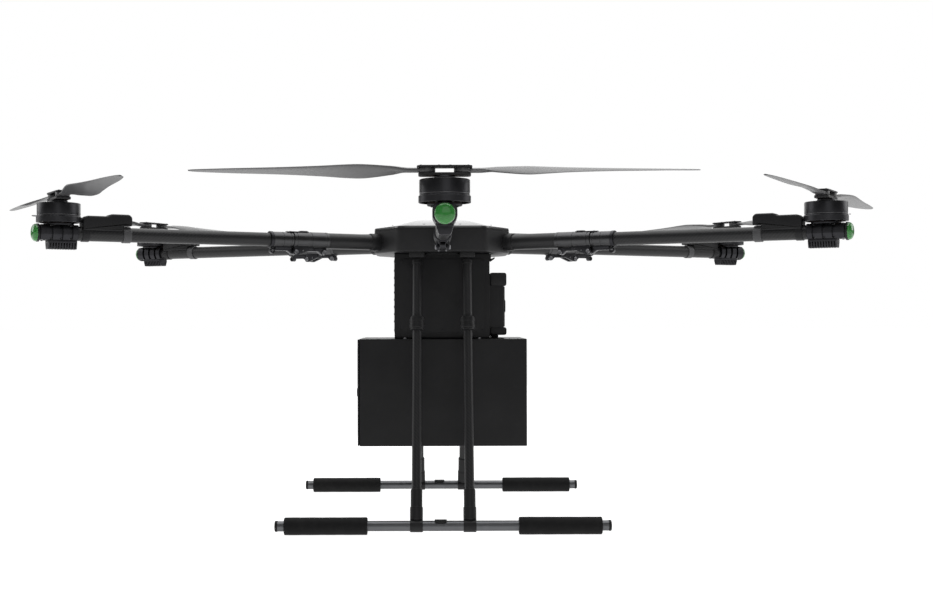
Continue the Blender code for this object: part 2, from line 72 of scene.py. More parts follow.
floor_mesh = bpy.data.meshes.new("floor")
FLOOR_HALF = 40.0
floor_mesh.from_pydata([(-FLOOR_HALF, -FLOOR_HALF, 0), (FLOOR_HALF, -FLOOR_HALF, 0),
                        (FLOOR_HALF, FLOOR_HALF, 0), (-FLOOR_HALF, FLOOR_HALF, 0)],
                       [], [(0, 1, 2, 3)])
floor = bpy.data.objects.new("floor", floor_mesh)
bpy.context.collection.objects.link(floor)
paint = bpy.data.materials.new("pale_floor")
paint.use_nodes = True
shader = paint.node_tree.nodes["Principled BSDF"]
shader.inputs["Base Color"].default_value = (0.4, 0.4, 0.4, 1.0)
shader.inputs["Roughness"].default_value = 0.8
shader.inputs["Specular IOR Level"].default_value = 0.0
shader.inputs["Emission Color"].default_value = (1.0, 1.0, 1.0, 1.0)
shader.inputs["Emission Strength"].default_value = 0.96
floor_mesh.materials.append(paint)


def softbox(name, size, at, aim, watts):
    """A square area light at one point, facing another."""
    lamp = bpy.data.objects.new(name, bpy.data.lights.new(name, "AREA"))
    lamp.data.size = size
    lamp.data.energy = watts
    lamp.location = at
    away = [a - b for a, b in zip(at, aim)]
    flat = math.hypot(away[0], away[1])
    lamp.rotation_euler = (math.atan2(flat, away[2]), 0.0, math.atan2(away[1], away[0]) + math.pi / 2)
    bpy.context.collection.objects.link(lamp)


softbox("overhead", 3.5, (0.0, 0.2, 3.4), (0.0, 0.0, 0.4), 100.0)
softbox("behind", 5.0, (0.0, 4.5, 2.6), (0.0, 0.0, 0.6), 110.0)
softbox("side_left", 2.0, (-3.2, 0.6, 1.8), (0.0, 0.0, 0.5), 26.0)
softbox("side_right", 2.0, (3.2, 0.6, 1.8), (0.0, 0.0, 0.5), 26.0)
softbox("front_fill", 2.5, (0.5, -4.5, 2.2), (0.0, 0.0, 0.4), 16.0)

# ---------------------------------------------------------------- hull base
# The moulded tray that the arms, legs and bays bolt to: a black shell with an arm collar on each
# of its six flats, a block over each leg, and a small strap hook at its right edge.
ARM_Z = 0.632
FLAT = 0.17
HALF_WIDTH = 0.157
FLOOR_Z = 0.607
RIM_Z = 0.661
FIRST_ARM = -90.0
ARMS = ("front", "front_right", "rear_right", "rear", "rear_left", "front_left")
LEG_X = 0.0566
LEG_TOP_Y = 0.141


def unit(vectors):
    """Each vector over its own length."""
    return vectors / np.maximum(np.linalg.norm(vectors, axis=-1, keepdims=True), 1e-12)


def softened(points, radius, closed=False, steps=4):
    """A 2-D line with each corner replaced by a parabola that starts and ends radius from it, or
    0.45 of the shorter side where that is less: (1-t)^2 before + 2t(1-t) corner + t^2 after."""
    points = np.asarray(points, float)
    before = np.roll(points, 1, axis=0) - points
    after = np.roll(points, -1, axis=0) - points
    short = np.minimum(np.linalg.norm(before, axis=1), np.linalg.norm(after, axis=1))
    reach = np.minimum(radius, 0.45 * short)[:, None]
    start = points + unit(before) * reach
    stop = points + unit(after) * reach
    t = np.linspace(0.0, 1.0, steps + 1)[None, :, None]
    arcs = (1 - t) ** 2 * start[:, None] + 2 * t * (1 - t) * points[:, None] + t**2 * stop[:, None]
    if closed:
        return arcs.reshape(-1, 2)
    return np.concatenate([points[:1], arcs[1:-1].reshape(-1, 2), points[-1:]])


def inset(outline, by):
    """A counter-clockwise outline moved inwards: each point goes along the mean of its two sides'
    normals, far enough that both sides move by the same amount."""
    ahead = unit(np.roll(outline, -1, axis=0) - outline)
    back = unit(outline - np.roll(outline, 1, axis=0))
    sides = [np.stack([side[:, 1], -side[:, 0]], axis=1) for side in (ahead, back)]
    normal = unit(sides[0] + sides[1])
    mitre = np.maximum((normal * sides[0]).sum(axis=1, keepdims=True), 0.35)
    return outline - normal * by / mitre


def slab(outline, levels, order="xyz"):
    """Rings of an outline: level (by, height) is the outline moved in by that much at that height.
    order names the axes that the outline's two directions and the height run along."""
    rings = []
    for by, height in levels:
        ring = inset(outline, by) if by else outline
        rings.append(np.column_stack([ring, np.full(len(ring), height)]))
    points = np.array(rings)
    return points[..., [order.index(axis) for axis in "xyz"]]


def edged(low, high, edge=0.0008):
    """Levels for a plate from height low to high with its edges rounded over: three steps of a
    quarter circle at each end."""
    turn = np.radians([0, 30, 60, 90])
    inwards = edge * (1 - np.sin(turn))
    rise = edge * (1 - np.cos(turn))
    bottom = list(zip(inwards, low + rise))
    top = list(zip(inwards[::-1], high - rise[::-1]))
    return bottom + top


def lathe(profile, sides=48, axis="z", centre=(0.0, 0.0, 0.0)):
    """A profile of (radius, distance along) turned about an axis: radius cos a, radius sin a."""
    profile = np.asarray(profile, float)
    angle = np.arange(sides) * 2 * np.pi / sides
    first = profile[:, :1] * np.cos(angle)
    second = profile[:, :1] * np.sin(angle)
    along = np.repeat(profile[:, 1:], sides, axis=1)
    ways = {"z": (first, second, along), "x": (along, first, second), "y": (second, along, first)}
    return np.stack(ways[axis], axis=-1) + np.asarray(centre)


def box_outline(x0, x1, y0, y1, corner=0.002, steps=4):
    """A rectangle with rounded corners, counter-clockwise."""
    return softened([(x0, y0), (x1, y0), (x1, y1), (x0, y1)], corner, closed=True, steps=steps)


class Shape:
    """Grids of points gathered into one mesh. A grid is rows x columns x 3, its quads join
    neighbours, and its UV map is the distance round each row and along the rows, in metres."""

    def __init__(self, place=None):
        self.place = np.eye(4) if place is None else place
        self.points, self.faces, self.sizes, self.uvs = [], [], [], []
        self.count = 0

    def grid(self, points, around=True, ends=(True, True)):
        rows, columns, _ = points.shape
        spans = columns if around else columns - 1
        i, j = np.meshgrid(np.arange(rows - 1), np.arange(spans), indexing="ij")
        corners_i = np.stack([i, i, i + 1, i + 1], axis=-1).reshape(-1, 4)
        corners_j = np.stack([j, j + 1, j + 1, j], axis=-1).reshape(-1, 4)
        quads = self.count + corners_i * columns + corners_j % columns
        wide = np.concatenate([points, points[:, :1]], axis=1) if around else points
        steps_round = np.linalg.norm(np.diff(wide, axis=1), axis=2)
        round_at = np.r_[0, np.cumsum(steps_round[steps_round.sum(axis=1).argmax()])]
        steps_along = np.linalg.norm(np.diff(points, axis=0), axis=2).mean(axis=1)
        along_at = np.r_[0, np.cumsum(steps_along)]
        uv = np.stack([round_at[corners_j], along_at[corners_i]], axis=-1)
        self.points.append(points.reshape(-1, 3))
        self.faces.append(quads.ravel())
        self.sizes.append(np.full(len(quads), 4))
        self.uvs.append(uv.reshape(-1, 2))
        for wanted, row in zip(ends, (0, rows - 1)):
            if wanted and around:
                self.faces.append(self.count + row * columns + np.arange(columns))
                self.sizes.append(np.array([columns]))
                self.uvs.append(self.flat_uv(points[row]))
        self.count += rows * columns
        return self

    @staticmethod
    def flat_uv(ring):
        """A cap's UV map: its points seen along the axis in which it is thinnest."""
        keep = np.argsort(np.ptp(ring, axis=0))[1:]
        return ring[:, np.sort(keep)]

    def ring(self, points):
        """A closed band: the last row joins the first."""
        return self.grid(np.concatenate([points, points[:1]]), ends=(False, False))

    def plate(self, outline, low, high, edge, order="xyz"):
        """A plate of this outline from low to high, its edges rounded over."""
        return self.grid(slab(outline, edged(low, high, edge), order))

    def turned(self, *profile, **where):
        """A solid whose profile starts and ends on its axis, so that it has no caps."""
        return self.grid(lathe(*profile, **where), ends=(False, False))

    def moved(self, points, around=True, ends=(True, True), by=(0, 0, 0), turn=0.0):
        """A grid turned about Z and then shifted, before the piece's own place is applied."""
        c, s = math.cos(turn), math.sin(turn)
        spun = points @ np.array([[c, s, 0], [-s, c, 0], [0, 0, 1]])
        return self.grid(spun + np.asarray(by), around, ends)

    def object(self, name, material, body, slot, replaces=(), sharp=32.0):
        """The finished piece: welded, facing outwards, shaded smooth, and riding on its body."""
        points = np.concatenate(self.points) @ self.place[:3, :3].T + self.place[:3, 3]
        faces = np.concatenate(self.faces)
        sizes = np.concatenate(self.sizes)
        uvs = np.concatenate(self.uvs)
        mesh = bpy.data.meshes.new(name)
        mesh.vertices.add(len(points))
        mesh.vertices.foreach_set("co", points.astype(np.float32).ravel())
        mesh.loops.add(len(faces))
        mesh.loops.foreach_set("vertex_index", faces.astype(np.int32))
        mesh.polygons.add(len(sizes))
        mesh.polygons.foreach_set("loop_start", np.r_[0, np.cumsum(sizes)[:-1]].astype(np.int32))
        mesh.update(calc_edges=True)
        layer = mesh.uv_layers.new(name="metres")
        layer.uv.foreach_set("vector", uvs.astype(np.float32).ravel())
        work = bmesh.new()
        work.from_mesh(mesh)
        bmesh.ops.remove_doubles(work, verts=work.verts, dist=0.000002)
        bmesh.ops.dissolve_degenerate(work, edges=work.edges, dist=0.000001)
        bmesh.ops.recalc_face_normals(work, faces=work.faces)
        work.to_mesh(mesh)
        work.free()
        mesh.shade_smooth()
        mesh.set_sharp_from_angle(angle=math.radians(sharp))
        mesh.materials.append(material)
        piece = bpy.data.objects.new(name, mesh)
        bpy.context.collection.objects.link(piece)
        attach(piece, body)
        if replaces:
            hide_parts(*replaces)
        return piece


class Socket:
    """A shader socket that Python's arithmetic works on: each operation adds a Math node."""

    def __init__(self, tree, socket):
        self.tree, self.socket = tree, socket

    def node(self, kind, settings=None, **values):
        """Any other node: its settings, then its sockets' values or links. An underscore in a
        name is a space in the socket's, and a number picks the socket by its place."""
        made = self.tree.nodes.new(kind)
        for name, value in (settings or {}).items():
            setattr(made, name, value)
        for name, value in values.items():
            number = name.removeprefix("input_")
            slot = made.inputs[int(number) if number.isdigit() else name.replace("_", " ")]
            if isinstance(value, Socket):
                self.tree.links.new(value.socket, slot)
            else:
                slot.default_value = value
        return Socket(self.tree, next(out for out in made.outputs if out.enabled))

    def math(self, operation, first, second):
        return self.node("ShaderNodeMath", {"operation": operation}, input_0=first, input_1=second)

    def __add__(self, other):
        return self.math("ADD", self, other)

    def __sub__(self, other):
        return self.math("SUBTRACT", self, other)

    def __rsub__(self, other):
        return self.math("SUBTRACT", other, self)

    def __mul__(self, other):
        return self.math("MULTIPLY", self, other)

    __radd__, __rmul__ = __add__, __mul__

    def between(self, low, high):
        """0 below low, 1 above high, and smooth from one to the other."""
        return self.node("ShaderNodeMapRange", {"interpolation_type": "SMOOTHSTEP"},
                         Value=self, From_Min=low, From_Max=high)

    def grain(self, scale, detail=3.0, roughness=0.6):
        """Cloudy noise from 0 to 1 at this position, scale lumps to the metre."""
        return self.node("ShaderNodeTexNoise", Vector=self, Scale=scale, Detail=detail,
                         Roughness=roughness)

    def stretched(self, *scale):
        """This position, scaled by a different amount along each axis."""
        return self.node("ShaderNodeMapping", Vector=self, Scale=scale)

    def mix(self, first, second):
        """The colour first where this is 0, second where it is 1."""
        colours = [tone if isinstance(tone, Socket) else (*tone, 1.0) for tone in (first, second)]
        return self.node("ShaderNodeMix", {"data_type": "RGBA"}, input_0=self,
                         input_6=colours[0], input_7=colours[1])


class Finish:
    """A new material: what is the same all over is set on its shader, and what varies is linked."""

    def __init__(self, name, **constants):
        self.material = bpy.data.materials.new(name)
        self.material.use_nodes = True
        self.tree = self.material.node_tree
        self.shader = self.tree.nodes["Principled BSDF"]
        for socket, value in constants.items():
            self.shader.inputs[socket.replace("_", " ")].default_value = value
        where = self.tree.nodes.new("ShaderNodeTexCoord")
        self.place = Socket(self.tree, where.outputs["Object"])
        self.uv = Socket(self.tree, where.outputs["UV"])

    def link(self, colour, roughness, height=None, strength=0.4, depth=0.0001):
        """Links colour and roughness, and a height field, depth metres deep, to the normal."""
        self.tree.links.new(colour.socket, self.shader.inputs["Base Color"])
        self.tree.links.new(roughness.socket, self.shader.inputs["Roughness"])
        if height is not None:
            relief = height.node("ShaderNodeBump", Height=height, Strength=strength, Distance=depth)
            self.tree.links.new(relief.socket, self.shader.inputs["Normal"])
        return self.material


def moulded_plastic(name, colour, rough, texture=1400.0, depth=0.00006, coat=0.0):
    """Spark-textured plastic: fine pits, faint cloudy fading, and a few rubbed patches."""
    finish = Finish(name, Coat_Weight=coat, Coat_Roughness=0.12, Specular_IOR_Level=0.18)
    pits = finish.place.grain(texture, 2.0)
    cloud = finish.place.grain(9.0, 4.0)
    rubbed = finish.place.grain(38.0, 5.0, 0.7).between(0.58, 0.74)
    pale = [c * 1.55 + 0.004 for c in colour]
    tone = (cloud.between(0.3, 0.75) * 0.45 + rubbed * 0.3).mix(colour, pale)
    return finish.link(tone, pits * 0.1 + cloud * 0.08 - rubbed * 0.07 + (rough - 0.08), pits, 0.5, depth)


HULL_BLACK = moulded_plastic("hull_black", (0.01, 0.01, 0.0106), 0.44)


def hull_outline(by=0.0, steps=8):
    """The hull's plan: six flats that face the arms, cut short by two flats at the sides."""
    flat, side = FLAT - by, HALF_WIDTH - by
    half_front = flat * math.tan(math.radians(30))
    side_y = (flat - side * math.cos(math.radians(30))) / math.sin(math.radians(30))
    corners = [(side, -side_y), (side, side_y), (half_front, flat), (-half_front, flat),
               (-side, side_y), (-side, -side_y), (-half_front, -flat), (half_front, -flat)]
    return softened(corners, 0.015 - by / 2, closed=True, steps=steps)


def arm_place(index):
    """The 4 x 4 place of an arm's own axes: x outwards from the hull, z up from the arm's axis."""
    turn = math.radians(FIRST_ARM + 60 * index)
    place = np.eye(4)
    place[:2, :2] = [[math.cos(turn), -math.sin(turn)], [math.sin(turn), math.cos(turn)]]
    place[2, 3] = ARM_Z
    return place


def place_at(x=0.0, y=0.0, z=0.0):
    place = np.eye(4)
    place[:3, 3] = (x, y, z)
    return place


tray = Shape()
outside = [(0.0036, FLOOR_Z), (0.0014, FLOOR_Z + 0.0006), (0.0004, FLOOR_Z + 0.0018),
           (0.0, FLOOR_Z + 0.0036), (0.0, 0.657), (0.0007, 0.6576), (0.0007, 0.6584), (0.0, 0.659),
           (0.0, 0.6603), (0.0007, RIM_Z)]
inside = [(0.0034, RIM_Z), (0.004, 0.6604), (0.004, 0.613), (0.0052, 0.6113), (0.007, 0.611)]
tray.grid(slab(hull_outline(), outside + inside))
for leg_x in (-LEG_X, LEG_X):
    for leg_y in (-LEG_TOP_Y, LEG_TOP_Y):
        pad = box_outline(leg_x - 0.0172, leg_x + 0.0172, leg_y - 0.0172, leg_y + 0.0172, 0.005)
        tray.plate(pad, FLOOR_Z - 0.0119, FLOOR_Z + 0.001, 0.0014)
tray.object("hull_tray", HULL_BLACK, "root", "hull_shell", ("hull_base",))

collar_profile = softened([(0.0181, 0.158), (0.0181, 0.1918), (0.0196, 0.1918), (0.0204, 0.1905),
                           (0.0204, 0.18), (0.0199, 0.1792), (0.0199, 0.16), (0.0181, 0.158)],
                          0.0005, steps=2)
for index, arm in enumerate(ARMS):
    collar = Shape(arm_place(index))
    collar.ring(lathe(collar_profile[:-1], 40, "x"))
    collar.object(f"{arm}_collar", HULL_BLACK, "root", "hull_shell")

hook = Shape()
hook_line = softened([(0.1122, 0.607), (0.1122, 0.5945), (0.115, 0.5905), (0.1255, 0.5975),
                      (0.1255, 0.6015), (0.1215, 0.5995), (0.1168, 0.5975), (0.1168, 0.607)], 0.0012,
                     closed=True)
hook.plate(hook_line, -0.0055, 0.0055, 0.0007, "xzy")
hook.object("strap_hook", HULL_BLACK, "root", "hull_shell")

# ---------------------------------------------------------------- hull lid
# A gloss black dome over the electronics, with a small lip on the tray, a flat pad in its middle
# for the satellite antenna, and twelve low screws round its edge.
LID_TOP = 0.6905
LID_LOW = RIM_Z + 0.0003
LID_STEP = 0.004
PAD = 0.18


def lid_height(ring):
    """The dome: its rise falls off with the square of the distance from the middle, in shares of
    the way to the edge, from the pad's rim down to a short upright lip."""
    share = (1 - np.maximum(ring, PAD) ** 2) / (1 - PAD**2)
    return LID_LOW + LID_STEP + (LID_TOP - LID_LOW - LID_STEP) * share


def glossy_paint(name, colour, rough):
    """Painted, polished plastic: nearly smooth, with faint ripples and dust specks."""
    finish = Finish(name, Coat_Weight=0.6, Coat_Roughness=0.08)
    ripple = finish.place.grain(55.0, 2.0)
    dust = finish.place.grain(900.0, 1.0).between(0.7, 0.78)
    tone = (dust * 0.5).mix(colour, [c + 0.05 for c in colour])
    return finish.link(tone, ripple * 0.1 + dust * 0.2 + rough, ripple, 0.25, 0.0003)


LID_GLOSS = glossy_paint("lid_gloss", (0.03, 0.03, 0.032), 0.2)

lid = Shape()
plan = hull_outline(steps=8)
shares = np.r_[0.99, 0.975, np.linspace(0.95, PAD, 22)]
outer = [(1.0, LID_LOW), (1.0, LID_LOW + 0.0026), (0.9975, LID_LOW + 0.0038)]
outer += list(zip(shares, lid_height(shares)))
inner = [(0.976, LID_LOW), (0.97, LID_LOW + 0.002)]
inner += list(zip(np.linspace(0.94, PAD, 8), lid_height(np.linspace(0.94, PAD, 8)) - 0.003))
rings = [np.column_stack([plan * share, np.full(len(plan), z)]) for share, z in inner[::-1] + outer]
lid.grid(np.array(rings))
lid.object("hull_lid_dome", LID_GLOSS, "root", "hull_lid", ("hull_lid",), sharp=24.0)


def cap_screw(radius=0.0028, height=0.0016, sides=12):
    """A low round screw head with a hexagonal socket: the socket's radius swells six times a turn."""
    angle = np.arange(sides) * 2 * np.pi / sides
    hexagon = 0.48 * (1 + 0.08 * np.cos(6 * angle))
    rows = [(1.0, 0.0), (1.0, 0.65), (0.82, 1.0), (None, 1.0), (None, 0.35)]
    ring = [(np.full(sides, share) if share else hexagon, z) for share, z in rows]
    return np.array([np.column_stack([radius * r * np.cos(angle), radius * r * np.sin(angle),
                                      np.full(sides, height * z)]) for r, z in ring])


def bare_metal(name, colour, rough, scratches=0.08, lines=0.0):
    """Machined metal: cloudy tone, fine scratches, and turning lines along the UV map if asked."""
    finish = Finish(name, Metallic=1.0)
    cloud = finish.place.grain(60.0, 4.0)
    hair = finish.uv.stretched(90.0, 5200.0, 1.0).grain(1.0, 2.0)
    tone = cloud.mix([c * 0.8 for c in colour], [min(1.0, c * 1.2) for c in colour])
    return finish.link(tone, cloud * 0.12 + hair * scratches + rough, hair * (0.3 + lines) + cloud * 0.2,
                       0.35, 0.00004)


SCREW_STEEL = bare_metal("screw_steel", (0.2, 0.2, 0.21), 0.26)

SCREW_SHARE = 0.898  # of the way from the lid's middle to its edge
lid_screws = Shape()
for bearing in np.radians(np.arange(0, 360, 30) + 15):
    at = np.array([math.cos(bearing), math.sin(bearing)])
    reach = 0.158 if abs(at[0]) < 0.8 else 0.146
    lid_screws.moved(cap_screw(), by=(at[0] * reach, at[1] * reach, lid_height(SCREW_SHARE) - 0.0013))
lid_screws.object("lid_screws", SCREW_STEEL, "root", "skid_tube")

# ---------------------------------------------------------------- boards
# Power distribution board with the flight controller's case on it, screwed to the tray's floor:
# glass-fibre board under solder mask, and a ribbed plastic case. The frame's own solids stay.
def solder_mask(name, colour):
    """Green-black lacquer with square copper pads showing through in a sparse grid."""
    finish = Finish(name, Coat_Weight=0.5, Coat_Roughness=0.1)
    cells = finish.place.node("ShaderNodeTexVoronoi", {"distance": "CHEBYCHEV"}, Vector=finish.place,
                              Scale=190.0)
    pads = 1.0 - cells.between(0.1, 0.16)
    cloud = finish.place.grain(300.0)
    tone = pads.mix(colour, (0.45, 0.27, 0.09))
    return finish.link(tone, cloud * 0.1 + 0.3, pads, 0.5, 0.0001)


CIRCUIT = solder_mask("solder_mask", (0.008, 0.035, 0.02))
CONTROLLER = moulded_plastic("controller_case", (0.045, 0.045, 0.05), 0.5)
for node, material in (("power_board", CIRCUIT), ("flight_controller", CONTROLLER)):
    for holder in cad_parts[node].material_slots:
        holder.material = material

# ---------------------------------------------------------------- equipment bay
# A black folded-sheet box, open on its right for the battery, bolted under the hull by a flange.
# Covers on three sides have rounded corners and countersunk screws; the left one has louvres.
BAY_LOW = 0.4103
BAY_HIGH = 0.6067
BAY_X = 0.109
BAY_Y = 0.11
BAY_WALL = 0.003
BAY_BLACK = moulded_plastic("bay_powder_coat", (0.0075, 0.0075, 0.008), 0.52, 900.0, 0.0001)

bay = Shape()
skin = edged(-BAY_X, BAY_X, 0.0012) + [(BAY_WALL, BAY_X - 0.0008), (BAY_WALL, BAY_WALL - BAY_X)]
bay.grid(slab(box_outline(-BAY_Y, BAY_Y, BAY_LOW, BAY_HIGH, 0.004), skin, "yzx"))
bay.object("bay_shell", BAY_BLACK, "root", "hull_shell", ("equipment_bay",))

covers = Shape()
cover_screws = Shape()
COVER = box_outline(-0.098, 0.098, 0.424, 0.594, 0.01)
for side in (-1, 1):
    low, high = sorted((side * (BAY_Y - 0.0004), side * (BAY_Y + 0.0009)))
    covers.plate(COVER, low, high, 0.0005, "xzy")
covers.plate(COVER, -BAY_X - 0.0009, -BAY_X + 0.0004, 0.0005, "yzx")
for z in np.linspace(0.45, 0.568, 8):
    louvre = box_outline(-0.06, 0.06, z - 0.0032, z + 0.0032, 0.003)
    covers.plate(louvre, -BAY_X - 0.003, -BAY_X, 0.0024, "yzx")
covers.object("bay_covers", BAY_BLACK, "root", "hull_shell")
for across in (-0.092, 0.0, 0.092):
    for z in (0.43, 0.588):
        for side in (-1, 1):
            head = cap_screw(0.0026, 0.0008)[..., [0, 2, 1]] * (1, side, 1)
            cover_screws.moved(head, by=(across, side * (BAY_Y + 0.0007), z))
        cover_screws.moved(cap_screw(0.0026, 0.0008)[..., [2, 1, 0]] * (-1, 1, 1),
                           by=(-BAY_X - 0.0007, across, z))
cover_screws.object("bay_cover_screws", BAY_BLACK, "root", "hull_shell")

flange = Shape()
for side in (-1, 1):
    low, high = sorted((side * 0.109, side * 0.1215))
    flange.plate(box_outline(-0.036, 0.036, low, high, 0.003), 0.603, BAY_HIGH, 0.0006)
    for x in (-0.026, 0.0, 0.026):
        flange.moved(cap_screw(0.0028, 0.002) * (1, 1, -1), by=(x, side * 0.1155, 0.6031))
flange.object("bay_flange", BAY_BLACK, "root", "hull_shell")

# ---------------------------------------------------------------- battery
# The flight pack: a textured plastic case with two thick end lips, a ribbed end face, a grip to
# pull it out by and a row of charge lights. It slides into the bay, and has a foot under its lip.
BATTERY = moulded_plastic("battery_case", (0.0095, 0.0095, 0.0102), 0.42, 700.0, 0.00012)
battery = Shape()
battery.plate(box_outline(-0.085, 0.085, 0.418, 0.56, 0.008), -0.085, 0.143, 0.004, "yzx")
for low, high in ((0.5311, 0.562), (0.418, 0.4362)):
    battery.plate(box_outline(0.11, 0.149, low, high, 0.006), -0.088, 0.088, 0.003, "xzy")
battery.plate(box_outline(0.116, 0.131, 0.4104, 0.42, 0.002), -0.06, 0.06, 0.001, "xzy")
for y in np.linspace(-0.078, 0.078, 14):
    rib = box_outline(y - 0.0024, y + 0.0024, 0.4375, 0.5298, 0.0015)
    battery.plate(rib, 0.1415, 0.1452, 0.001, "yzx")
battery.object("battery_case", BATTERY, "battery", "battery_case", ("battery_pack",))

grip = Shape()
grip.plate(box_outline(-0.045, 0.045, 0.47, 0.5, 0.01), 0.144, 0.1489, 0.0022, "yzx")
for y in np.linspace(-0.034, 0.034, 9):
    grip.plate(box_outline(y - 0.0016, y + 0.0016, 0.4745, 0.4955, 0.0014), 0.1478, 0.149, 0.0005, "yzx")
RUBBER = moulded_plastic("soft_rubber", (0.01, 0.01, 0.01), 0.66, 1100.0, 0.00008)
grip.object("battery_grip", RUBBER, "battery", "battery_case")

LED_GLASS = Finish("charge_light", Coat_Weight=0.6)
LED_GLASS = LED_GLASS.link(LED_GLASS.place.grain(700.0).mix((0.02, 0.22, 0.05), (0.05, 0.4, 0.1)),
                           LED_GLASS.place.grain(80.0) * 0.1 + 0.2)
charge = Shape()
for y in (-0.012, -0.004, 0.004, 0.012):
    light = lathe([(0.0, 0.1482), (0.0012, 0.1482), (0.0016, 0.1489), (0.0012, 0.14945), (0.0, 0.1495)],
                  12, "x")
    charge.moved(light, by=(0.0, y, 0.548), ends=(False, False))
charge.object("battery_charge_lights", LED_GLASS, "battery", "lamp_lens")

# ---------------------------------------------------------------- cargo box
# The payload box hangs from the bay's underside: a thin moulded shell with crisp satin edges,
# open on the left, where a gasket seals it against the door.
BOX_X = (-0.1885, 0.193)
BOX_Z = (0.1655, 0.41)
BOX_Y = 0.125
BOX_WALL = 0.004
CARGO = moulded_plastic("cargo_box_satin", (0.0075, 0.0075, 0.008), 0.42, 1800.0, 0.00004)
box = Shape()
skin = edged(-BOX_X[1], -BOX_X[0], 0.0018)
skin = [(by, -x) for by, x in skin] + [(BOX_WALL, BOX_X[0] + 0.001), (BOX_WALL, BOX_X[1] - BOX_WALL)]
box.grid(slab(box_outline(-BOX_Y, BOX_Y, *BOX_Z, 0.003, 5), skin, "yzx"))
box.object("cargo_box_shell", CARGO, "root", "cargo_shell", ("payload_box",))

hangers = Shape()
for x in (-0.085, 0.085):
    for y in (-0.1135, 0.1135):
        hangers.moved(cap_screw(0.0042, 0.003), by=(x, y, 0.4098))
hangers.object("cargo_box_bolts", SCREW_STEEL, "root", "skid_tube")

# ---------------------------------------------------------------- cargo door
# A flat moulded panel with a raised rim, hung on an upright steel pin at the box's rear left
# edge, with two strap leaves and a low turned knob to open it by.
DOOR_X = (-0.193, -0.189)
HINGE_X, HINGE_Y = -0.193, 0.1285
door = Shape()
door.plate(box_outline(-0.125, 0.1235, 0.1665, 0.409, 0.003), *DOOR_X, 0.0012, "yzx")
door.plate(box_outline(-0.108, 0.1065, 0.1835, 0.392, 0.01), -0.1942, -0.1925, 0.0008, "yzx")
door.object("cargo_door_panel", CARGO, "door", "cargo_shell", ("payload_door",))

HINGE_METAL = bare_metal("hinge_black_oxide", (0.045, 0.045, 0.047), 0.34)


def knuckle(low, high, radius=0.0045, bore=0.0021):
    """One hinge knuckle: a tube about the pin, with chamfered ends."""
    edge = 0.0005
    profile = [(bore, low), (radius - edge, low), (radius, low + edge), (radius, high - edge),
               (radius - edge, high), (bore, high)]
    return lathe(profile, 24, centre=(HINGE_X, HINGE_Y, 0.0))


door_metal = Shape()
door_metal.ring(knuckle(0.2303, 0.3447))
for low, high in ((0.24, 0.262), (0.313, 0.335)):
    leaf = box_outline(0.0945, 0.1262, low, high, 0.003)
    door_metal.plate(leaf, -0.1962, -0.1938, 0.0006, "yzx")
    for y in (0.1, 0.112):
        screw = cap_screw(0.0024, 0.001)[..., [2, 1, 0]] * (-1, 1, 1)
        door_metal.moved(screw, by=(-0.1961, y, (low + high) / 2))
knob = [(0.0, 0.0), (0.0098, 0.0), (0.0098, 0.0014), (0.009, 0.0022), (0.0062, 0.0022), (0.005, 0.0016),
        (0.0, 0.0016)]
door_metal.grid(lathe(knob, 32, "x") * (-1, 1, 1) + (-0.1932, -0.105, 0.288), ends=(False, False))
door_metal.object("cargo_door_hinge_and_knob", HINGE_METAL, "door", "skid_tube")

box_metal = Shape()
for low, high in ((0.1903, 0.2297), (0.3453, 0.3847)):
    box_metal.ring(knuckle(low, high))
    strap = box_outline(-0.1925, -0.164, low, high, 0.003)
    box_metal.plate(strap, 0.1248, 0.1272, 0.0006, "xzy")
    for z in (low + 0.009, high - 0.009):
        box_metal.moved(cap_screw(0.0024, 0.001)[..., [0, 2, 1]], by=(-0.172, 0.1271, z))
pin = [(0.0, 0.1885), (0.003, 0.1885), (0.003, 0.1899), (0.0019, 0.1901), (0.0019, 0.3849),
       (0.003, 0.3851), (0.003, 0.3865), (0.0, 0.3865)]
box_metal.turned(pin, 16, centre=(HINGE_X, HINGE_Y, 0.0))
box_metal.object("cargo_box_hinge", HINGE_METAL, "root", "skid_tube")

gasket = Shape()
gasket_outer = box_outline(-0.1208, 0.1208, 0.1697, 0.4058, 0.003)
gasket.ring(slab(gasket_outer, [(0, -0.1886), (0.0022, -0.1886), (0.0022, -0.185), (0, -0.185)], "yzx"))
gasket.object("cargo_door_gasket", RUBBER, "root", "foam")

# ---------------------------------------------------------------- legs
# Four splayed carbon tubes. Each has a ferrule under the hull, a split clamp half-way, a slim
# satin sleeve at its foot and a tee that grips the skid.
LEG_R = 0.01
LEG_TOP_Z = 0.591
SKID_Y = 0.337
SKID_Z = 0.0187


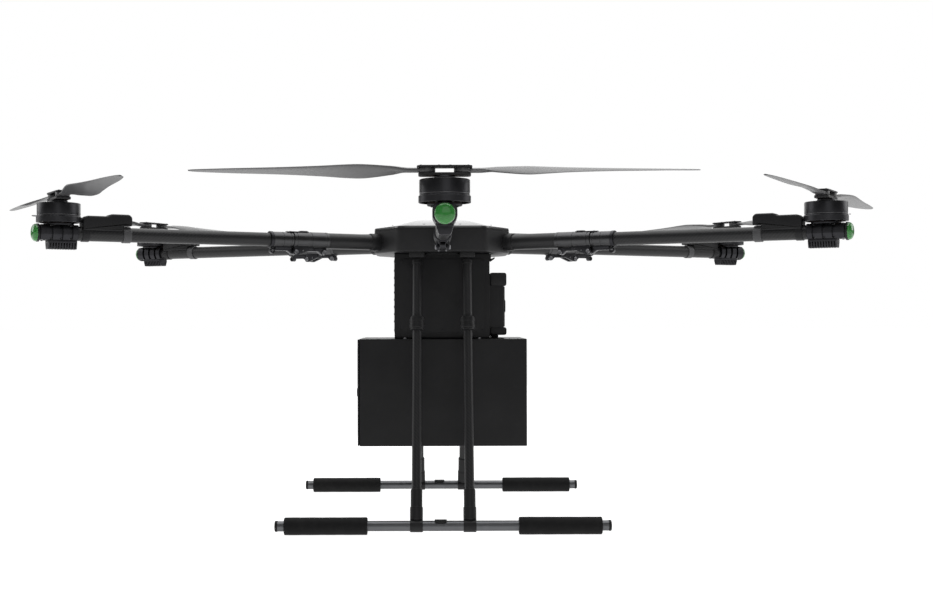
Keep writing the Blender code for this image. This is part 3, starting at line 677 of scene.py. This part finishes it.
def twill(name, tow=0.002, rough=0.38):
    """Carbon 2/2 twill under clear resin. Tow (i, j) of the UV map is floor(u / tow), floor(v /
    tow); the warp is on top where (i + j) mod 4 is below 2, and each tow is a low sine hump."""
    finish = Finish(name, Coat_Weight=0.08, Coat_Roughness=0.22, Specular_IOR_Level=0.28)
    split = finish.tree.nodes.new("ShaderNodeSeparateXYZ")
    finish.tree.links.new(finish.uv.socket, split.inputs[0])
    across, along = (Socket(finish.tree, split.outputs[k]) * (1 / tow) for k in (0, 1))
    step = across.math("FLOOR", across, 0.0) + along.math("FLOOR", along, 0.0)
    warp = step.math("LESS_THAN", step.math("FLOORED_MODULO", step, 4.0), 1.5)
    humps = [tows.math("ABSOLUTE", tows.math("SINE", tows * math.pi, 0.0), 0.0) for tows in (across, along)]
    height = warp * humps[0] + (1.0 - warp) * humps[1]
    fibres = finish.uv.stretched(3000.0, 3000.0, 1.0).grain(1.0, 2.0)
    tone = (warp * 0.6 + fibres * 0.4).mix((0.006, 0.006, 0.0065), (0.018, 0.018, 0.019))
    return finish.link(tone, warp * 0.06 + fibres * 0.08 + rough, height, 0.25, 0.00006)


CARBON = twill("carbon_twill")
ANODISED = bare_metal("black_anodised", (0.034, 0.034, 0.037), 0.3, lines=0.4)
SATIN_PLASTIC = moulded_plastic("clamp_nylon", (0.012, 0.012, 0.0125), 0.38, 1600.0)


def run_place(start, end):
    """The place whose z axis runs from start to end, with x level along X."""
    along = np.subtract(end, start)
    along = along / np.linalg.norm(along)
    place = np.eye(4)
    place[:3, 0] = (1, 0, 0)
    place[:3, 1] = np.cross(along, (1, 0, 0))
    place[:3, 2] = along
    place[:3, 3] = start
    return place


def chamfered(radius, low, high, edge=0.0008):
    """A plain cylinder's profile with its two rims chamfered."""
    return [(0.0, low), (radius - edge, low), (radius, low + edge), (radius, high - edge),
            (radius - edge, high), (0.0, high)]


for front in (-1, 1):
    for side in (-1, 1):
        leg = ("front_" if front < 0 else "rear_") + ("left" if side < 0 else "right") + "_leg"
        top = (side * LEG_X, front * LEG_TOP_Y, LEG_TOP_Z)
        foot = (side * LEG_X, front * SKID_Y, SKID_Z)
        place = run_place(top, foot)
        length = math.dist(top, foot)
        tube = Shape(place)
        tube.grid(lathe([(LEG_R, 0.0035), (LEG_R, length - 0.01)], 40))
        tube.object(f"{leg}_tube", CARBON, "root", "carbon", (leg,))
        fittings = Shape(place)
        fittings.turned(chamfered(0.0113, 0.003, 0.0125, 0.0006), 40)
        clamp = [(0.0, 0.1388), (0.014, 0.1388), (0.015, 0.1396), (0.015, 0.142), (0.0162, 0.1432),
                 (0.0162, 0.151), (0.0155, 0.1516), (0.0155, 0.157), (0.0162, 0.1576), (0.0162, 0.1654),
                 (0.015, 0.1666), (0.015, 0.169), (0.014, 0.1698), (0.0, 0.1698)]
        fittings.turned(clamp, 40)
        # The local y axis of a front leg points down and away, and a rear leg's points back up.
        ear_low, ear_high = sorted((front * 0.013, front * 0.0225))
        fittings.plate(box_outline(-0.005, 0.005, ear_low, ear_high, 0.002), 0.1415, 0.1671, 0.001)
        fittings.turned(chamfered(0.0125, length - 0.078, length - 0.012, 0.0012), 40)
        fittings.turned(chamfered(0.0138, length - 0.04, length - 0.012, 0.001), 40)
        fittings.object(f"{leg}_fittings", SATIN_PLASTIC, "root", "hull_shell")
        bolts = Shape(place)
        for z in (0.1478, 0.1608):
            bolt = lathe(chamfered(0.0021, -0.0078, 0.0078, 0.0004), 12, "x", (0.0, front * 0.0185, z))
            bolts.grid(bolt, ends=(False, False))
        bolts.object(f"{leg}_clamp_bolts", SCREW_STEEL, "root", "skid_tube")
        tee = Shape(place_at(*foot))
        tee_profile = [(0.0111, -0.0135), (0.0128, -0.0135), (0.0134, -0.0129), (0.0134, 0.0129),
                       (0.0128, 0.0135), (0.0111, 0.0135)]
        tee.ring(lathe(tee_profile, 40, "x"))
        tee.object(f"{leg}_tee", SATIN_PLASTIC, "root", "hull_shell")

# ---------------------------------------------------------------- skids
# Two drawn aluminium tubes with plugged ends. Each has two closed-cell foam sleeves, and a small
# clip between the legs.
SKID_R = 0.011
SKID_HALF = 0.356
FOAM_R = 0.0187
SKID_METAL = bare_metal("skid_aluminium", (0.115, 0.117, 0.122), 0.3, lines=0.3)


def cell_foam(name):
    """Closed-cell rubber foam: two sizes of cell as pits, and cloudy wear that greys it."""
    finish = Finish(name, Specular_IOR_Level=0.2)
    cells = finish.place.node("ShaderNodeTexVoronoi", Vector=finish.place, Scale=900.0)
    small = finish.place.grain(2600.0, 2.0)
    worn = finish.place.grain(45.0, 5.0, 0.7)
    tone = (worn.between(0.45, 0.75) * 0.6 + small * 0.2).mix((0.0045, 0.0045, 0.0047),
                                                              (0.011, 0.011, 0.011))
    return finish.link(tone, small * 0.08 + 0.7, cells * 0.6 + small * 0.4, 0.6, 0.0003)


FOAM = cell_foam("closed_cell_foam")

for front in (-1, 1):
    name = "front" if front < 0 else "rear"
    place = place_at(0.0, front * SKID_Y, SKID_Z)
    skid = Shape(place)
    skid.turned(chamfered(SKID_R, 0.006 - SKID_HALF, SKID_HALF - 0.006, 0.0004), 40, "x")
    skid.object(f"{name}_skid", SKID_METAL, "root", "skid_tube", (f"{name}_skid_tube",))
    caps = Shape(place)
    plug = [(0.0, 0.35), (0.0112, 0.35), (0.0116, 0.3505), (0.0116, 0.354), (0.0108, 0.3555),
            (0.0085, 0.356), (0.0, 0.356)]
    for side in (-1, 1):
        caps.grid(lathe(plug, 40, "x") * (side, 1, 1), ends=(False, False))
    clip = softened([(-0.018, 0.0112), (-0.0105, 0.0055), (-0.001, 0.0055), (0.0075, 0.0112),
                     (0.0075, 0.0124), (-0.018, 0.0124)], 0.001, closed=True)
    caps.plate(clip, -0.01, 0.01, 0.0008, "xzy")
    caps.object(f"{name}_skid_caps_and_clip", RUBBER, "root", "foam")
    for side in (-1, 1):
        sleeve = Shape(place)
        line = softened([(0.0113, 0.16), (FOAM_R, 0.16), (FOAM_R, 0.336), (0.0113, 0.336)], 0.0042,
                        steps=6)
        line = np.insert(line, len(line) // 2,
                         np.column_stack([np.full(24, FOAM_R), np.linspace(0.166, 0.33, 24)]), axis=0)
        points = lathe(line, 56, "x")
        # Shallow dents: the radius dips by up to 0.3 mm, as two slow sines of angle and distance.
        angle = np.arange(56)[None, :] * 2 * np.pi / 56
        dent = 1 + np.sin(2 * angle + 95 * line[:, 1:]) * np.sin(61 * line[:, 1:] + side + front)
        keep = 1 - 0.008 * dent * (line[:, :1] > 0.018)
        points[..., 1:] *= keep[..., None]
        sleeve.ring(points * (side, 1, 1))
        which = "left" if side < 0 else "right"
        sleeve.object(f"{name}_{which}_foam", FOAM, "root", "foam", (f"{name}_{which}_foam_sleeve",))

# ---------------------------------------------------------------- arm roots
# Each arm starts as a carbon tube clamped in the hull's collar. It ends in a turned alloy fold
# sleeve, under which a lug plate and a fork of two cheeks carry the steel fold pin.
FOLD_ALLOY = bare_metal("fold_alloy_satin", (0.066, 0.066, 0.068), 0.24, lines=0.5)
ROOT_TUBE_R = 0.018
ROOT_SLEEVE_R = 0.019
SLEEVE_R = 0.0177
TUBE_R = 0.015
PARTING = 0.3865
HINGE_R, HINGE_DROP = 0.3815, -0.0265


def sleeve_profile(radius, bore, low, high, grooves):
    """A sleeve with chamfered rims over the tube, and a shallow turned groove at each place."""
    line = [(bore, low), (radius - 0.0009, low), (radius, low + 0.0009)]
    for at in grooves:
        line += [(radius, at - 0.0014), (radius - 0.0007, at - 0.0009),
                 (radius - 0.0007, at + 0.0009), (radius, at + 0.0014)]
    return line + [(radius, high - 0.0009), (radius - 0.0009, high), (bore, high)]


def wrapped(points):
    """A slab laid in the plane bent round the arm's axis: its y becomes an angle, and its z, the
    radius, so that point (x, y, z) goes to (x, z sin(y / z0), z cos(y / z0)), z0 being its radius."""
    turn = points[..., 1] / SLEEVE_R
    return np.stack([points[..., 0], points[..., 2] * np.sin(turn), points[..., 2] * np.cos(turn)], axis=-1)


LUG = softened([(0.3044, -0.012), (0.3044, -0.0318), (0.316, -0.0318), (0.3235, -0.0243),
                (0.3713, -0.0243), (0.3713, -0.012)], 0.003, closed=True)
CHEEK = softened([(0.3502, -0.011), (0.3502, -0.0233), (0.377, -0.0333), (0.3848, -0.0333),
                  (0.3883, -0.0303), (0.3883, -0.0226), (0.3856, -0.0196), (0.3856, -0.011)], 0.0028,
                 closed=True)
LUG_WINDOW = softened([(0.322, -0.0222), (0.344, -0.0222), (0.344, -0.019), (0.322, -0.019)], 0.0014,
                      closed=True)

for index, arm in enumerate(ARMS):
    place = arm_place(index)
    tube = Shape(place)
    tube.grid(lathe([(ROOT_TUBE_R, 0.157), (ROOT_TUBE_R, 0.306)], 48, "x"))
    tube.object(f"{arm}_root_tube", CARBON, "root", "carbon", (f"{arm}_arm_root",))
    sleeve = Shape(place)
    line = sleeve_profile(ROOT_SLEEVE_R, 0.0165, 0.3002, PARTING - 0.0003, (0.3075, 0.344, 0.379))
    sleeve.ring(lathe(line, 48, "x"))
    sleeve.object(f"{arm}_inner_fold_sleeve", FOLD_ALLOY, "root", "fold_alloy")
    lug = Shape(place)
    lug.plate(LUG, -0.0064, 0.0064, 0.001, "xzy")
    for side in (-1, 1):
        low, high = sorted((side * 0.0071, side * 0.0134))
        lug.plate(CHEEK, low, high, 0.0009, "xzy")
        low, high = sorted((side * 0.006, side * 0.0074))
        lug.ring(slab(LUG_WINDOW, [(0, low), (0, high), (0.0016, high), (0.0016, low)], "xzy"))
    bridge = box_outline(0.338, 0.374, -0.012, 0.012, 0.003)
    lug.plate(bridge, -0.0212, -0.0125, 0.0009)
    lug.object(f"{arm}_lug_and_cheeks", ANODISED, "root", "anodised")
    pin = Shape(place)
    for x, z, radius, head, half in ((HINGE_R, HINGE_DROP, 0.0036, 0.005, 0.0165),
                                     (0.31, HINGE_DROP, 0.0045, 0.0059, 0.0099)):
        line = [(0.0, -half), (0.0022, -half), (0.0024, 0.0006 - half), (head - 0.001, 0.0004 - half),
                (head, 0.0014 - half), (head, 0.003 - half), (radius, 0.0032 - half),
                (radius, half - 0.0032), (head, half - 0.003), (head, half - 0.0014),
                (head - 0.001, half - 0.0004), (0.0024, half - 0.0006), (0.0022, half), (0.0, half)]
        pin.turned(line, 28, "y", (x, 0.0, z))
    for side in (-1, 1):
        screw = cap_screw(0.0018, 0.0012)[..., [0, 2, 1]] * (1, side, 1)
        pin.moved(screw, by=(0.365, side * 0.0133, -0.0235))
    pin.object(f"{arm}_fold_pins", SCREW_STEEL, "root", "skid_tube")

# ---------------------------------------------------------------- folding arms
# The outer half turns down on the pin: fold sleeve, dark end ring, release latch on top, knuckle
# and link below, carbon tube, grey ring clamp, and a moulded saddle cover before the motor.
KNUCKLE = softened([(0.3812, -0.033), (0.39, -0.0308), (0.399, -0.0243), (0.43, -0.0243), (0.43, -0.013),
                    (0.3874, -0.013), (0.3874, -0.02), (0.3812, -0.02)], 0.002, closed=True)
SADDLE = softened([(0.7704, 0.006), (0.855, 0.006), (0.855, 0.029), (0.846, 0.037),
                   (0.803, 0.037), (0.796, 0.0418), (0.758, 0.0418), (0.752, 0.0362),
                   (0.752, 0.0178), (0.7704, 0.0178)], 0.0035, closed=True, steps=5)
COVER_PLASTIC = moulded_plastic("saddle_cover", (0.0105, 0.0105, 0.0112), 0.4, 1500.0)
BAND_GREY = moulded_plastic("pale_band", (0.06, 0.06, 0.062), 0.4, 1500.0)
TUBE_END = 0.8636

for index, arm in enumerate(ARMS):
    place = arm_place(index)
    body = f"{arm}_arm_fold"
    tube = Shape(place)
    tube.grid(lathe([(TUBE_R, 0.405), (TUBE_R, TUBE_END)], 48, "x"))
    tube.object(f"{arm}_outer_tube", CARBON, body, "carbon", (f"{arm}_arm",))
    sleeve = Shape(place)
    line = sleeve_profile(SLEEVE_R, 0.014, PARTING + 0.0003, 0.4345, (0.3935, 0.412))
    sleeve.ring(lathe(line, 48, "x"))
    sleeve.object(f"{arm}_outer_fold_sleeve", FOLD_ALLOY, body, "fold_alloy")
    latch = Shape(place)
    latch.grid(wrapped(slab(box_outline(0.348, 0.393, -0.008, 0.008, 0.003),
                            edged(0.0193, 0.0207, 0.0006))))
    latch.grid(wrapped(slab(box_outline(0.35, 0.368, -0.0058, 0.0058, 0.0025),
                            edged(0.0201, 0.0214, 0.0006))))
    for x in np.arange(0.3525, 0.367, 0.0026):
        latch.grid(wrapped(slab(box_outline(x - 0.0006, x + 0.0006, -0.005, 0.005, 0.0005),
                                edged(0.0207, 0.0219, 0.0004))))
    latch.grid(wrapped(slab(box_outline(0.3875, 0.4, -0.007, 0.007, 0.003),
                            edged(0.017, 0.0199, 0.0006))))
    end_ring = softened([(0.014, 0.4338), (0.0186, 0.4338), (0.0186, 0.4413), (0.014, 0.4413)], 0.001,
                        steps=3)
    latch.ring(lathe(end_ring, 48, "x"))
    latch.object(f"{arm}_latch_and_ring", ANODISED, body, "anodised")
    link = Shape(place)
    link.plate(KNUCKLE, -0.0061, 0.0061, 0.001, "xzy")
    link.plate(box_outline(0.39, 0.429, -0.0095, 0.0095, 0.003), -0.0205, -0.0125, 0.0008)
    boss = lathe(chamfered(0.0067, -0.0064, 0.0064, 0.0006), 32, "y", (HINGE_R, 0.0, HINGE_DROP))
    link.grid(boss, ends=(False, False))
    eye = [(0.0028, -0.0058), (0.0054, -0.0058), (0.006, -0.0052), (0.006, 0.0052), (0.0054, 0.0058),
           (0.0028, 0.0058)]
    link.ring(lathe(eye, 28, "y", (0.4345, 0.0, -0.0248)))
    link.object(f"{arm}_knuckle_and_link", ANODISED, body, "anodised")
    cover = Shape(place)
    cover.plate(SADDLE, -0.017, 0.017, 0.0042, "xzy")
    band = softened([(0.0145, 0.84), (0.0166, 0.84), (0.0166, 0.855), (0.0145, 0.855)], 0.0008, steps=3)
    cover.ring(lathe(band, 48, "x"))
    cover.object(f"{arm}_saddle_cover", COVER_PLASTIC, body, "hull_shell")
    clamp = Shape(place)
    clamp.ring(lathe([(0.0145, 0.7532), (0.0164, 0.7532), (0.0171, 0.7539), (0.0171, 0.7693),
                      (0.0164, 0.77), (0.0145, 0.77)], 48, "x"))
    clamp.object(f"{arm}_ring_clamp", BAND_GREY, body, "hull_shell")
    screws = Shape(place)
    for x, z in ((0.766, 0.0414), (0.788, 0.0414), (0.826, 0.0366)):
        screws.moved(cap_screw(0.0021, 0.0012), by=(x, 0.0, z))
    screws.object(f"{arm}_arm_screws", SCREW_STEEL, body, "skid_tube")

# ---------------------------------------------------------------- motor mounts
# A slotted alloy clamp block grips the tube's end. Below it hangs the finned speed controller,
# above it a round plate carries the motor, and a beacon lamp closes the end.
MOTOR_R = 0.9
BLOCK_END = softened([(-0.0156, -0.0149), (0.0156, -0.0149), (0.0209, -0.0046), (0.0209, 0.0086),
                      (0.0178, 0.0165), (-0.0178, 0.0165), (-0.0209, 0.0086), (-0.0209, -0.0046)],
                     0.0022, closed=True, steps=3)
BLOCK_RUN = [(0.001, 0.8643), (0.0, 0.8653)]
for slot in (0.879, 0.899, 0.919):
    BLOCK_RUN += [(0.0, slot - 0.0031), (0.004, slot - 0.0029), (0.004, slot + 0.0029),
                  (0.0, slot + 0.0031)]
BLOCK_RUN += [(0.0, 0.9389), (0.001, 0.9399)]
COPPER = bare_metal("enamelled_copper", (0.42, 0.16, 0.055), 0.34)
LENS = Finish("beacon_lens", Transmission_Weight=0.45, IOR=1.4, Coat_Weight=0.3)
LENS = LENS.link(LENS.place.grain(60.0).mix((0.04, 0.28, 0.045), (0.06, 0.36, 0.07)),
                 LENS.place.grain(120.0) * 0.06 + 0.12)
LAMP_CORE = moulded_plastic("lamp_core", (0.42, 0.1, 0.07), 0.3)

for index, arm in enumerate(ARMS):
    place = arm_place(index)
    body = f"{arm}_arm_fold"
    block = Shape(place)
    block.grid(slab(BLOCK_END, BLOCK_RUN, "yzx"))
    plate = chamfered(0.0299, 0.016, 0.0199, 0.0008)
    block.turned(plate, 56, centre=(MOTOR_R, 0.0, 0.0))
    block.object(f"{arm}_clamp_block", ANODISED, body, "anodised", (f"{arm}_motor_mount",))
    sink = Shape(place)
    sink.plate(box_outline(0.866, 0.924, -0.0149, 0.0149, 0.003), -0.02, -0.014, 0.0008)
    for x in np.linspace(0.8677, 0.9223, 11):
        fin = softened([(-0.01, -0.033), (0.01, -0.033), (0.0148, -0.019), (-0.0148, -0.019)],
                       0.002, closed=True, steps=2)
        sink.plate(fin, x - 0.0014, x + 0.0014, 0.0003, "yzx")
    sink.object(f"{arm}_heat_sink", ANODISED, body, "anodised")
    core = Shape(place)
    core.turned(chamfered(0.036, 0.03, 0.05, 0.0006), 60, centre=(MOTOR_R, 0.0, 0.0))
    core.turned(chamfered(0.015, 0.0195, 0.054, 0.0006), 40, centre=(MOTOR_R, 0.0, 0.0))
    for k in range(6):
        core.moved(slab(box_outline(0.012, 0.0285, -0.0026, 0.0026, 0.001), edged(0.0198, 0.0255, 0.0006)),
                   by=(MOTOR_R, 0.0, 0.0), turn=math.radians(30 + 60 * k))
    core.object(f"{arm}_stator_core", ANODISED, body, "anodised")
    # The windings: the radius swells by 2.6 mm over each of 24 teeth, |cos 12a|, and rounds over
    # at both ends.
    angle = np.arange(144) * 2 * np.pi / 144
    rise = np.linspace(0.0, np.pi, 9)[:, None]
    radius = 0.0225 + (0.0095 + 0.0026 * np.abs(np.cos(12 * angle))[None, :]) * np.sin(rise) ** 0.5
    height = 0.0395 - 0.015 * np.cos(rise) + 0 * angle[None, :]
    windings = Shape(place)
    coils = np.stack([MOTOR_R + radius * np.cos(angle), radius * np.sin(angle), height], axis=-1)
    windings.grid(coils)
    windings.object(f"{arm}_windings", COPPER, body, "anodised")
    collar = Shape(place)
    ring = softened([(0.015, 0.9403), (0.0185, 0.9403), (0.0185, 0.9452), (0.015, 0.9452)], 0.0008,
                    steps=3)
    collar.ring(lathe(ring, 48, "x"))
    for y in (-0.0105, 0.0105):
        collar.moved(cap_screw(0.0022, 0.0014) * (1, 1, -1), by=(0.932, y, -0.0148))
    for y in (-0.0218, 0.0218):
        for x in (-0.014, 0.014):
            collar.moved(cap_screw(0.0019, 0.0014) * (1, 1, -1), by=(MOTOR_R + x, y, 0.0162))
    collar.object(f"{arm}_lamp_collar", COVER_PLASTIC, body, "anodised")
    # The lens: a barrel whose rim is a superellipse, (r / 17.8)^2.6 + (x / 10)^2.6 = 1 in mm.
    turn = np.linspace(np.pi / 2, 0.0, 14)
    rim = np.column_stack([np.sin(turn), np.cos(turn)]) ** (2 / 2.6)
    inner = rim[::-1] * (0.016, 0.0084) + (0.0, 0.9447)
    lens = Shape(place)
    lens.grid(lathe(np.concatenate([rim * (0.0178, 0.01) + (0.0, 0.9447), inner]), 48, "x"))
    lens.object(f"{arm}_lens", LENS, body, "lamp_lens", (f"{arm}_lamp",))
    led = Shape(place)
    led.turned([(0.0, 0.9405), (0.015, 0.9405), (0.014, 0.9425), (0.0085, 0.9435), (0.008, 0.95),
                (0.006, 0.9515), (0.0, 0.9518)], 32, "x")
    led.object(f"{arm}_lamp_core", LAMP_CORE, body, "lamp_lens")

# ---------------------------------------------------------------- motor bells
# The outrunner's turning part: a steel magnet ring in a black alloy bell with a narrow groove,
# a lower flange, and eight spokes to the hub. The ring in the groove is a lighter grey metal, partly
# painted highlight for the bright line the groove's edge catches. Two clamp plates on top hold the
# blades' bolts.
PIVOT = 0.03
PROP_Z = 0.07625


def turned_place(place, turn, x=0.0, y=0.0, z=0.0):
    """A place turned about its own z axis, then moved along its turned axes."""
    spin = np.eye(4)
    spin[:2, :2] = [[math.cos(turn), -math.sin(turn)], [math.sin(turn), math.cos(turn)]]
    return place @ spin @ place_at(x, y, z)


BELL = bare_metal("bell_black_anodised", (0.04, 0.04, 0.043), 0.27, lines=0.8)
# Lighter grey metal for the shaft and for the ring in the bell's groove, whose tone is partly a painted
# highlight.
GROOVE_HIGHLIGHT_AND_SHAFT = bare_metal("bell_groove_highlight_and_shaft", (0.14, 0.14, 0.145), 0.26)
HUB_PLATE = moulded_plastic("hub_plate", (0.019, 0.019, 0.02), 0.36, 1500.0)

for index, arm in enumerate(ARMS):
    place = turned_place(arm_place(index), 0.0, MOTOR_R)
    body = f"{arm}_spinner"
    bell = Shape(place)
    skirt = [(0.0395, 0.0212), (0.044, 0.0212), (0.0445, 0.0217), (0.0445, 0.0322), (0.044, 0.0328),
             (0.043, 0.0334), (0.043, 0.0346), (0.0423, 0.0353), (0.0423, 0.0367), (0.043, 0.0374),
             (0.043, 0.059), (0.0424, 0.0601), (0.041, 0.0607), (0.0355, 0.0608), (0.0345, 0.06),
             (0.0345, 0.0577), (0.0395, 0.0577)]
    bell.ring(lathe(skirt, 72))
    hub = [(0.0042, 0.0577), (0.0175, 0.0577), (0.018, 0.0583), (0.018, 0.0655), (0.0172, 0.0664),
           (0.0042, 0.0664)]
    bell.ring(lathe(hub, 48))
    for k in range(8):
        bell.moved(slab(box_outline(0.0165, 0.036, -0.003, 0.003, 0.001), edged(0.0577, 0.0606, 0.0006)),
                   turn=math.radians(22.5 + 45 * k))
    bell.object(f"{arm}_bell", BELL, body, "anodised", (f"{arm}_rotor",))
    # Partly painted highlight: a lighter grey metal ring fills the bell's groove to show the bright line
    # its edge catches. The shaft is the same metal.
    highlight_ring_and_shaft = Shape(place)
    highlight_ring_and_shaft.ring(lathe([(0.0418, 0.0353), (0.0425, 0.0355), (0.0425, 0.0365), (0.0418, 0.0367)], 72))
    highlight_ring_and_shaft.turned([(0.0, 0.01), (0.0038, 0.01), (0.004, 0.0106), (0.004, 0.06), (0.0, 0.06)], 24)
    highlight_ring_and_shaft.object(f"{arm}_groove_highlight_and_shaft", GROOVE_HIGHLIGHT_AND_SHAFT, body, "skid_tube")
    plates = Shape(place)
    lower = box_outline(-0.015, 0.015, -0.0445, 0.0445, 0.01)
    upper = box_outline(-0.015, 0.015, -0.047, 0.047, 0.012)
    plates.plate(lower, 0.0664, 0.0716, 0.0007)
    plates.plate(upper, 0.0809, 0.084, 0.0007)
    plates.object(f"{arm}_hub_plates", HUB_PLATE, body, "anodised")
    bolts = Shape(place)
    for side in (-1, 1):
        shank = [(0.0, 0.068), (0.0031, 0.068), (0.0031, 0.0836), (0.0056, 0.0836), (0.0056, 0.0845),
                 (0.005, 0.0849), (0.0024, 0.0849), (0.0022, 0.0842), (0.0, 0.0842)]
        bolts.turned(shank, 24, centre=(0.0, side * PIVOT, 0.0))
        for x in (-0.0095, 0.0095):
            bolts.moved(cap_screw(0.0023, 0.0018), by=(x, side * 0.0095, 0.0831))
            bolts.moved(cap_screw(0.0019, 0.0014), by=(x, side * 0.04, 0.0835))
    bolts.object(f"{arm}_hub_bolts", SCREW_STEEL, body, "skid_tube")

# ---------------------------------------------------------------- propeller blades
# Twelve folding blades of moulded carbon composite, each with a round root boss and a bronze bush
# on its pivot bolt. The outline swells, twists and tapers to a rounded tip.
BLADE_STATIONS = np.array([  # distance from the motor's axis, chord, thickness, pitch in degrees
    (0.036, 0.02, 0.008, 0.0), (0.058, 0.024, 0.008, 0.0), (0.09, 0.036, 0.0078, 16.0),
    (0.135, 0.053, 0.0064, 19.5), (0.17, 0.06, 0.0058, 15.5), (0.21, 0.054, 0.0052, 12.5),
    (0.28, 0.042, 0.0042, 10.0), (0.37, 0.029, 0.003, 8.5), (0.422, 0.016, 0.0023, 7.0),
    (0.432, 0.007, 0.0018, 7.0)])
CLOCKWISE = ("front_right", "front_left", "rear")


def through(knots, at):
    """Columns of a table read between its rows by a cubic whose slope at each row is the mean of
    its neighbours' slopes, kept from overshooting by the smaller of them where they agree."""
    x, y = knots[:, 0], knots[:, 1:]
    rise = np.diff(y, axis=0) / np.diff(x)[:, None]
    inner = np.where(rise[1:] * rise[:-1] > 0,
                     2 * rise[1:] * rise[:-1] / np.where(rise[1:] + rise[:-1] == 0, 1,
                                                         rise[1:] + rise[:-1]), 0)
    slope = np.concatenate([rise[:1], inner, rise[-1:]])
    k = np.clip(np.searchsorted(x, at) - 1, 0, len(x) - 2)
    width = (x[k + 1] - x[k])[:, None]
    t = (at - x[k])[:, None] / width
    return ((2 * t**3 - 3 * t**2 + 1) * y[k] + (t**3 - 2 * t**2 + t) * width * slope[k]
            + (3 * t**2 - 2 * t**3) * y[k + 1] + (t**3 - t**2) * width * slope[k + 1])


def blade_surface(hand, rows=60, columns=36):
    """A blade along +Y from its pivot. Round the section, a is an angle: the chord runs as cos a
    and the thickness as sin a, fuller at the leading edge, with a small camber; the chord's middle
    lies 0.12 (chord - 20 mm) behind the pivot's line; each section is then turned by its pitch.
    The rows crowd towards the root, and the tip ends 7 mm wide."""
    share = np.linspace(0.0, 1.0, rows) ** 0.9
    at = BLADE_STATIONS[0, 0] + share * (BLADE_STATIONS[-1, 0] - BLADE_STATIONS[0, 0])
    chord, thick, pitch = (column[:, None] for column in through(BLADE_STATIONS, at).T)
    a = np.arange(columns) * 2 * np.pi / columns
    along = 0.5 * chord * np.cos(a) - 0.12 * (chord - 0.02)
    above = 0.5 * thick * np.sin(a) * (1 + 0.3 * np.cos(a))
    turn = np.radians(pitch)
    camber = 0.035 * chord * np.sin(5 * np.minimum(turn, math.radians(18))) * np.sin(a) ** 2
    lead = along * np.cos(turn) - (above + camber) * np.sin(turn)
    rise = along * np.sin(turn) + (above + camber) * np.cos(turn)
    out = np.repeat((at - PIVOT)[:, None], columns, axis=1)
    return np.stack([-hand * lead, out, rise], axis=-1)


def blade_composite(name):
    """Short chopped fibres under satin resin: streaks along the blade, and paler cloudy patches."""
    finish = Finish(name, Coat_Weight=0.15, Coat_Roughness=0.2)
    chips = finish.uv.stretched(900.0, 160.0, 1.0).grain(1.0, 3.0)
    cloud = finish.place.grain(30.0, 4.0)
    tone = (chips.between(0.35, 0.7) * 0.5 + cloud * 0.3).mix((0.03, 0.03, 0.032), (0.062, 0.062, 0.064))
    return finish.link(tone, chips * 0.1 + cloud * 0.06 + 0.34, chips, 0.3, 0.00005)


BLADE = blade_composite("blade_composite")
BRONZE = bare_metal("bronze_bush", (0.35, 0.22, 0.09), 0.3)
BOSS = [(0.0036, -0.00415), (0.0135, -0.00415), (0.0144, -0.0033), (0.0144, 0.0033), (0.0135, 0.00415),
        (0.0036, 0.00415)]

for index, arm in enumerate(ARMS):
    motor = turned_place(arm_place(index), 0.0, MOTOR_R)
    hand = -1 if arm in CLOCKWISE else 1
    for letter, half_turn in (("a", 0.0), ("b", math.pi)):
        place = turned_place(motor, half_turn, 0.0, PIVOT, PROP_Z)
        body = f"{arm}_blade_{letter}_fold"
        blade = Shape(place)
        blade.grid(blade_surface(hand))
        blade.ring(lathe(BOSS, 40))
        blade.object(f"{arm}_propeller_blade_{letter}", BLADE, body, "blade", (f"{arm}_blade_{letter}",),
                     sharp=50.0)
        bush = Shape(place)
        bush.ring(lathe([(0.0035, -0.0042), (0.0058, -0.0042), (0.0058, 0.0042), (0.0035, 0.0042)], 24))
        bush.object(f"{arm}_blade_{letter}_bush", BRONZE, body, "skid_tube")
